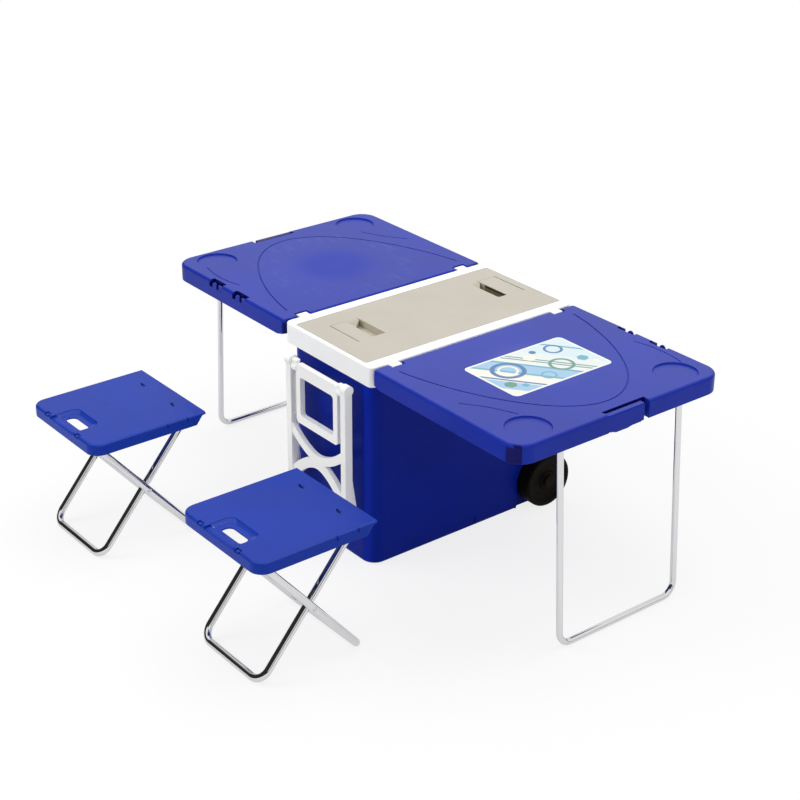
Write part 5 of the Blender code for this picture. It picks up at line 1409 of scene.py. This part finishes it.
def makeArm():
    part = handleParts
    radius = part["depth"] / 2
    middleY = part["frontY"] + radius
    piece = None
    for side in both:
        ends = span(side, part["outerX"] - part["rail"], part["outerX"])
        rail = [
            *arcPoints((middleY, part["pivot"][1]), radius, 180, 360, 20),
            *arcPoints((middleY, part["topZ"] - radius), radius, 0, 180, 20),
        ]
        bar = prism(rail, *ends, "X")
        if piece is None:
            piece = newPiece("pull_handle_arm", bar)
        else:
            join(piece, bar)
        # Round knob on the rail's top, and a gusset behind the rail above its foot
        less, more = part["knobEnds"]
        knob = span(side, part["outerX"] - part["rail"] + less, part["outerX"] + more)
        join(piece, rod((middleY, part["topZ"] - part["knobDrop"]), part["knob"], *knob, "X", 48))
        gusset = [(middleY + radius + behind * mm, level * mm) for behind, level in part["gusset"]]
        join(piece, prism(gusset, ends[0] + 2 * mm, ends[1] - 2 * mm, "X"))
        # Channel in the face towards the grip, below the knuckle
        inner = side * (part["outerX"] - part["rail"])
        ends = sorted((inner - side * 1 * mm, inner + side * part["channelDepth"]))
        y0, y1, z0, z1 = part["channel"]
        channel = roundRect(part["frontY"] + y0, part["frontY"] + y1, z0, z1, part["channelRound"], 6)
        cut(piece, prism(channel, *ends, "X"))
    inner = part["outerX"] - part["rail"] / 2
    for ends, level, width in (
        (part["upperEnds"], part["middle"] + part["spread"], part["braceWidth"][0]),
        (part["lowerEnds"], part["middle"] - part["spread"], part["braceWidth"][1]),
    ):
        shares = [t / 24 for t in range(-24, 25)]
        line = [(s * inner, level + (ends - level) * abs(s) ** part["curve"]) for s in shares]
        face = part["frontY"] + part["braceBack"]
        join(piece, prism(band(line, width), face, face + part["braceDepth"], "Y"))
    reach = part["outerX"] + 10 * mm
    cut(piece, rod(part["pivot"], part["pinHole"], -reach, reach, "X", 28))
    gripY = part["frontY"] + part["setBack"] + part["gripDepth"] / 2
    for side in both:
        ends = span(side, part["outerX"] - 2 * part["rail"], part["outerX"] - 3 * mm)
        cut(piece, rod((gripY, part["gripPivotZ"]), part["pinHole"], *ends, "X", 28))
    settle(piece, finishes["white"], "handle_arm", ["handle_arm"], fillet=0.9 * mm)


def makeGrip():
    part = handleParts
    front = part["frontY"] + part["setBack"]
    back = front + part["gripDepth"]
    half = part["gripHalf"]
    z0, z1 = part["gripZ"]
    piece = newPiece("pull_handle_grip", prism(roundRect(-half, half, z0, z1, 8 * mm, 8), front, back, "Y"))
    centre = ((front + back) / 2, part["gripPivotZ"])
    end = part["outerX"] - part["rail"] - 0.7 * mm
    w0, w1 = part["windowZ"]
    window = roundRect(-part["windowHalf"], part["windowHalf"], w0, w1, 7 * mm, 8)
    cut(piece, prism(window, front - 5 * mm, back + 5 * mm, "Y"))
    for side in both:
        x0, x1 = span(side, half - 2 * mm, end)
        join(piece, rod(centre, part["boss"], x0, x1, "X", 40))
        lump = roundRect(x0, x1, front, back, 2.5 * mm, 5)
        join(piece, prism(lump, part["gripPivotZ"], part["gripPivotZ"] + part["lump"]))
        ends = span(side, part["windowHalf"] + 5 * mm, end + 1 * mm)
        cut(piece, rod(centre, part["pinHole"], *ends, "X", 28))
    settle(piece, finishes["white"], "handle_grip", ["handle_grip"], fillet=1.2 * mm)


makeArm()
makeGrip()
print("handle made")


# Wheels; the faces are given in mm as ways in from the side and down from the tread
wheelParts = {
    "tread": 56 * mm,
    "innerFace": ((0, 51.6), (0, 41), (8, 39), (8, 14), (0, 11)),
    "outerFace": (
        (0, 9),
        (1.5, 10.5),
        (5, 13),
        (6, 16),
        (6, 22),
        (7.5, 24),
        (7.5, 35),
        (3, 39),
        (2, 40),
        (2, 51.6),
    ),
    "shoulder": 5 * mm,
    "grooves": (11 * mm, 17 * mm, 23 * mm),
    "groove": ((-1, 0), (-0.6, 1.2), (0.6, 1.2), (1, 0)),
}


def makeWheel(word, side):
    part = wheelParts
    outer = boxParts["wheelOuter"]
    inner = outer - boxParts["wheelWidth"]
    tread, bend = part["tread"], part["shoulder"]
    start = tread - bend
    profile = [(inner + along * mm, tread - down * mm) for along, down in part["innerFace"]]
    profile += [(inner + bend - bend * math.cos(t), start + bend * math.sin(t)) for t in quarter(5)]
    for at in part["grooves"]:
        profile += [(inner + at + along * mm, tread - deep * mm) for along, deep in part["groove"]]
    profile += [(outer - bend + bend * math.sin(t), start + bend * math.cos(t)) for t in quarter(5)]
    profile += [(outer - along * mm, tread - down * mm) for along, down in part["outerFace"]]
    tyre = turned([(side * w, r) for w, r in profile], wheelAt, "X", 96)
    piece = newPiece(f"road_wheel_{word}", tyre)
    settle(piece, finishes["tyre"], f"wheel_{word}", [f"wheel_{word}"])


for word, side in (("left", -1), ("right", 1)):
    makeWheel(word, side)
print("wheels made")


# CAD nodes that stay, with their finishes
sides, ends = ("left", "right"), ("near", "far")
dress(finishes["inner"], "box_liner", "lid_plug")
dress(finishes["foam"], "box_foam", "lid_foam")
for word in sides:
    dress(finishes["white"], f"handle_bracket_{word}")
    dress(finishes["tyre"], f"hub_cap_{word}")
    dress(finishes["steel"], f"handle_arm_pin_{word}", f"handle_grip_pin_{word}", f"axle_{word}")
    for end in ends:
        dress(finishes["shell"], f"leg_{word}_bracket_{end}")
        dress(finishes["steel"], f"leg_{word}_pin_{end}", f"hinge_pin_{word}_{end}")
for end in ends:
    dress(finishes["steel"], f"stool_{end}_pivot_rod", f"stool_{end}_slide_rod")
    for word in sides:
        dress(finishes["steel"], f"stool_{end}_rivet_{word}")


# Stage: pale floor, soft lamps, and a studio sky
stage = {
    "floorSize": 3.2,
    "fade": (0.75, 1.45),
    "lift": 0.8,
    "glossLift": 0.5,
    "skyDiffuse": 0.74,
    "skyTop": 1.0,
    "skyDark": 0.03,
    "flagSide": (-0.42, -0.907),
    "bounce": 0.72,
    "paper": 0.93,
    "floorPlace": (0, -0.15, -0.0005),
    "target": (0, -0.1, 0.2),
    "horizon": (0.05, 0.20),
    "screen": (0.10, 0.35),
    "screenTop": (0.66, 0.80),
}


def emptyTree(holder):
    holder.use_nodes = True
    holder.node_tree.nodes.clear()
    return Wire(holder.node_tree)


def show(wire, kind):
    output = wire.tree.nodes.new(kind)
    wire.tree.links.new(wire.socket, output.inputs["Surface"])


def grey(level):
    return (level, level, level, 1.0)


def addFloor():
    size = stage["floorSize"]
    bm = bmesh.new()
    bmesh.ops.create_grid(bm, x_segments=1, y_segments=1, size=size)
    floor = newPiece("floor", bm)
    floor.location = stage["floorPlace"]
    made = bpy.data.materials.new("pale_floor")
    wire = emptyTree(made)
    x, y, _ = wire.place().axes()
    out = (x * x + y * y) ** 0.5
    rays = wire.node("ShaderNodeLightPath")
    glossy = rays.out("Is Glossy Ray")
    seen = rays.most(glossy).most(rays.out("Is Transmission Ray"))
    lift = stage["lift"] + (stage["glossLift"] - stage["lift"]) * glossy
    share = (lift + (1.0 - lift) * out.step(*stage["fade"])) * seen
    matt = wire.node("ShaderNodeBsdfDiffuse", None, {"Color": grey(stage["paper"])})
    dim = wire.node("ShaderNodeBsdfDiffuse", None, {"Color": grey(stage["bounce"])})
    matt = wire.node("ShaderNodeMixShader", None, {0: seen, 1: dim, 2: matt})
    glow = wire.node("ShaderNodeEmission", None, {"Color": grey(1.0), "Strength": 1.0})
    mixed = wire.node("ShaderNodeMixShader", None, {0: share, 1: matt, 2: glow})
    show(mixed, "ShaderNodeOutputMaterial")
    floor.data.materials.append(made)


def addSky():
    world = bpy.data.worlds.new("studio")
    bpy.context.scene.world = world
    wire = emptyTree(world)
    rays = wire.node("ShaderNodeLightPath")
    glossy = rays.out("Is Glossy Ray")
    direction = wire.node("ShaderNodeTexCoord", out=0)
    x, y, z = direction.axes()
    # Seen in gloss: a dark horizon, and a dark screen to the left of the camera
    sky = z.step(*stage["horizon"])
    flagX, flagY = stage["flagSide"]
    facing = (x * flagX + y * flagY) / (x * x + y * y + 0.0001) ** 0.5
    screen = facing.step(*stage["screen"]) * (1.0 - z.step(*stage["screenTop"]))
    gloss = stage["skyDark"] + (stage["skyTop"] - stage["skyDark"]) * sky * (1.0 - screen)
    level = stage["skyDiffuse"] + glossy * (gloss - stage["skyDiffuse"])
    back = wire.node("ShaderNodeBackground", None, {"Color": grey(1.0), "Strength": level.most(rays)})
    show(back, "ShaderNodeOutputWorld")


def addLamp(name, place, size, power):
    data = bpy.data.lights.new(name, "AREA")
    data.size = size
    data.energy = power
    lamp = bpy.data.objects.new(name, data)
    bpy.context.scene.collection.objects.link(lamp)
    lamp.location = place
    lamp.rotation_euler = (Vector(stage["target"]) - Vector(place)).to_track_quat("-Z", "Y").to_euler()
    lamp.visible_glossy = False


addFloor()
addSky()
addLamp("key_lamp", (-1.6, -2.6, 2.8), 1.8, 38)
addLamp("top_lamp", (0.3, 0.4, 3.2), 2.4, 34)
bpy.context.scene.view_settings.view_transform = "Standard"
print("stage set")
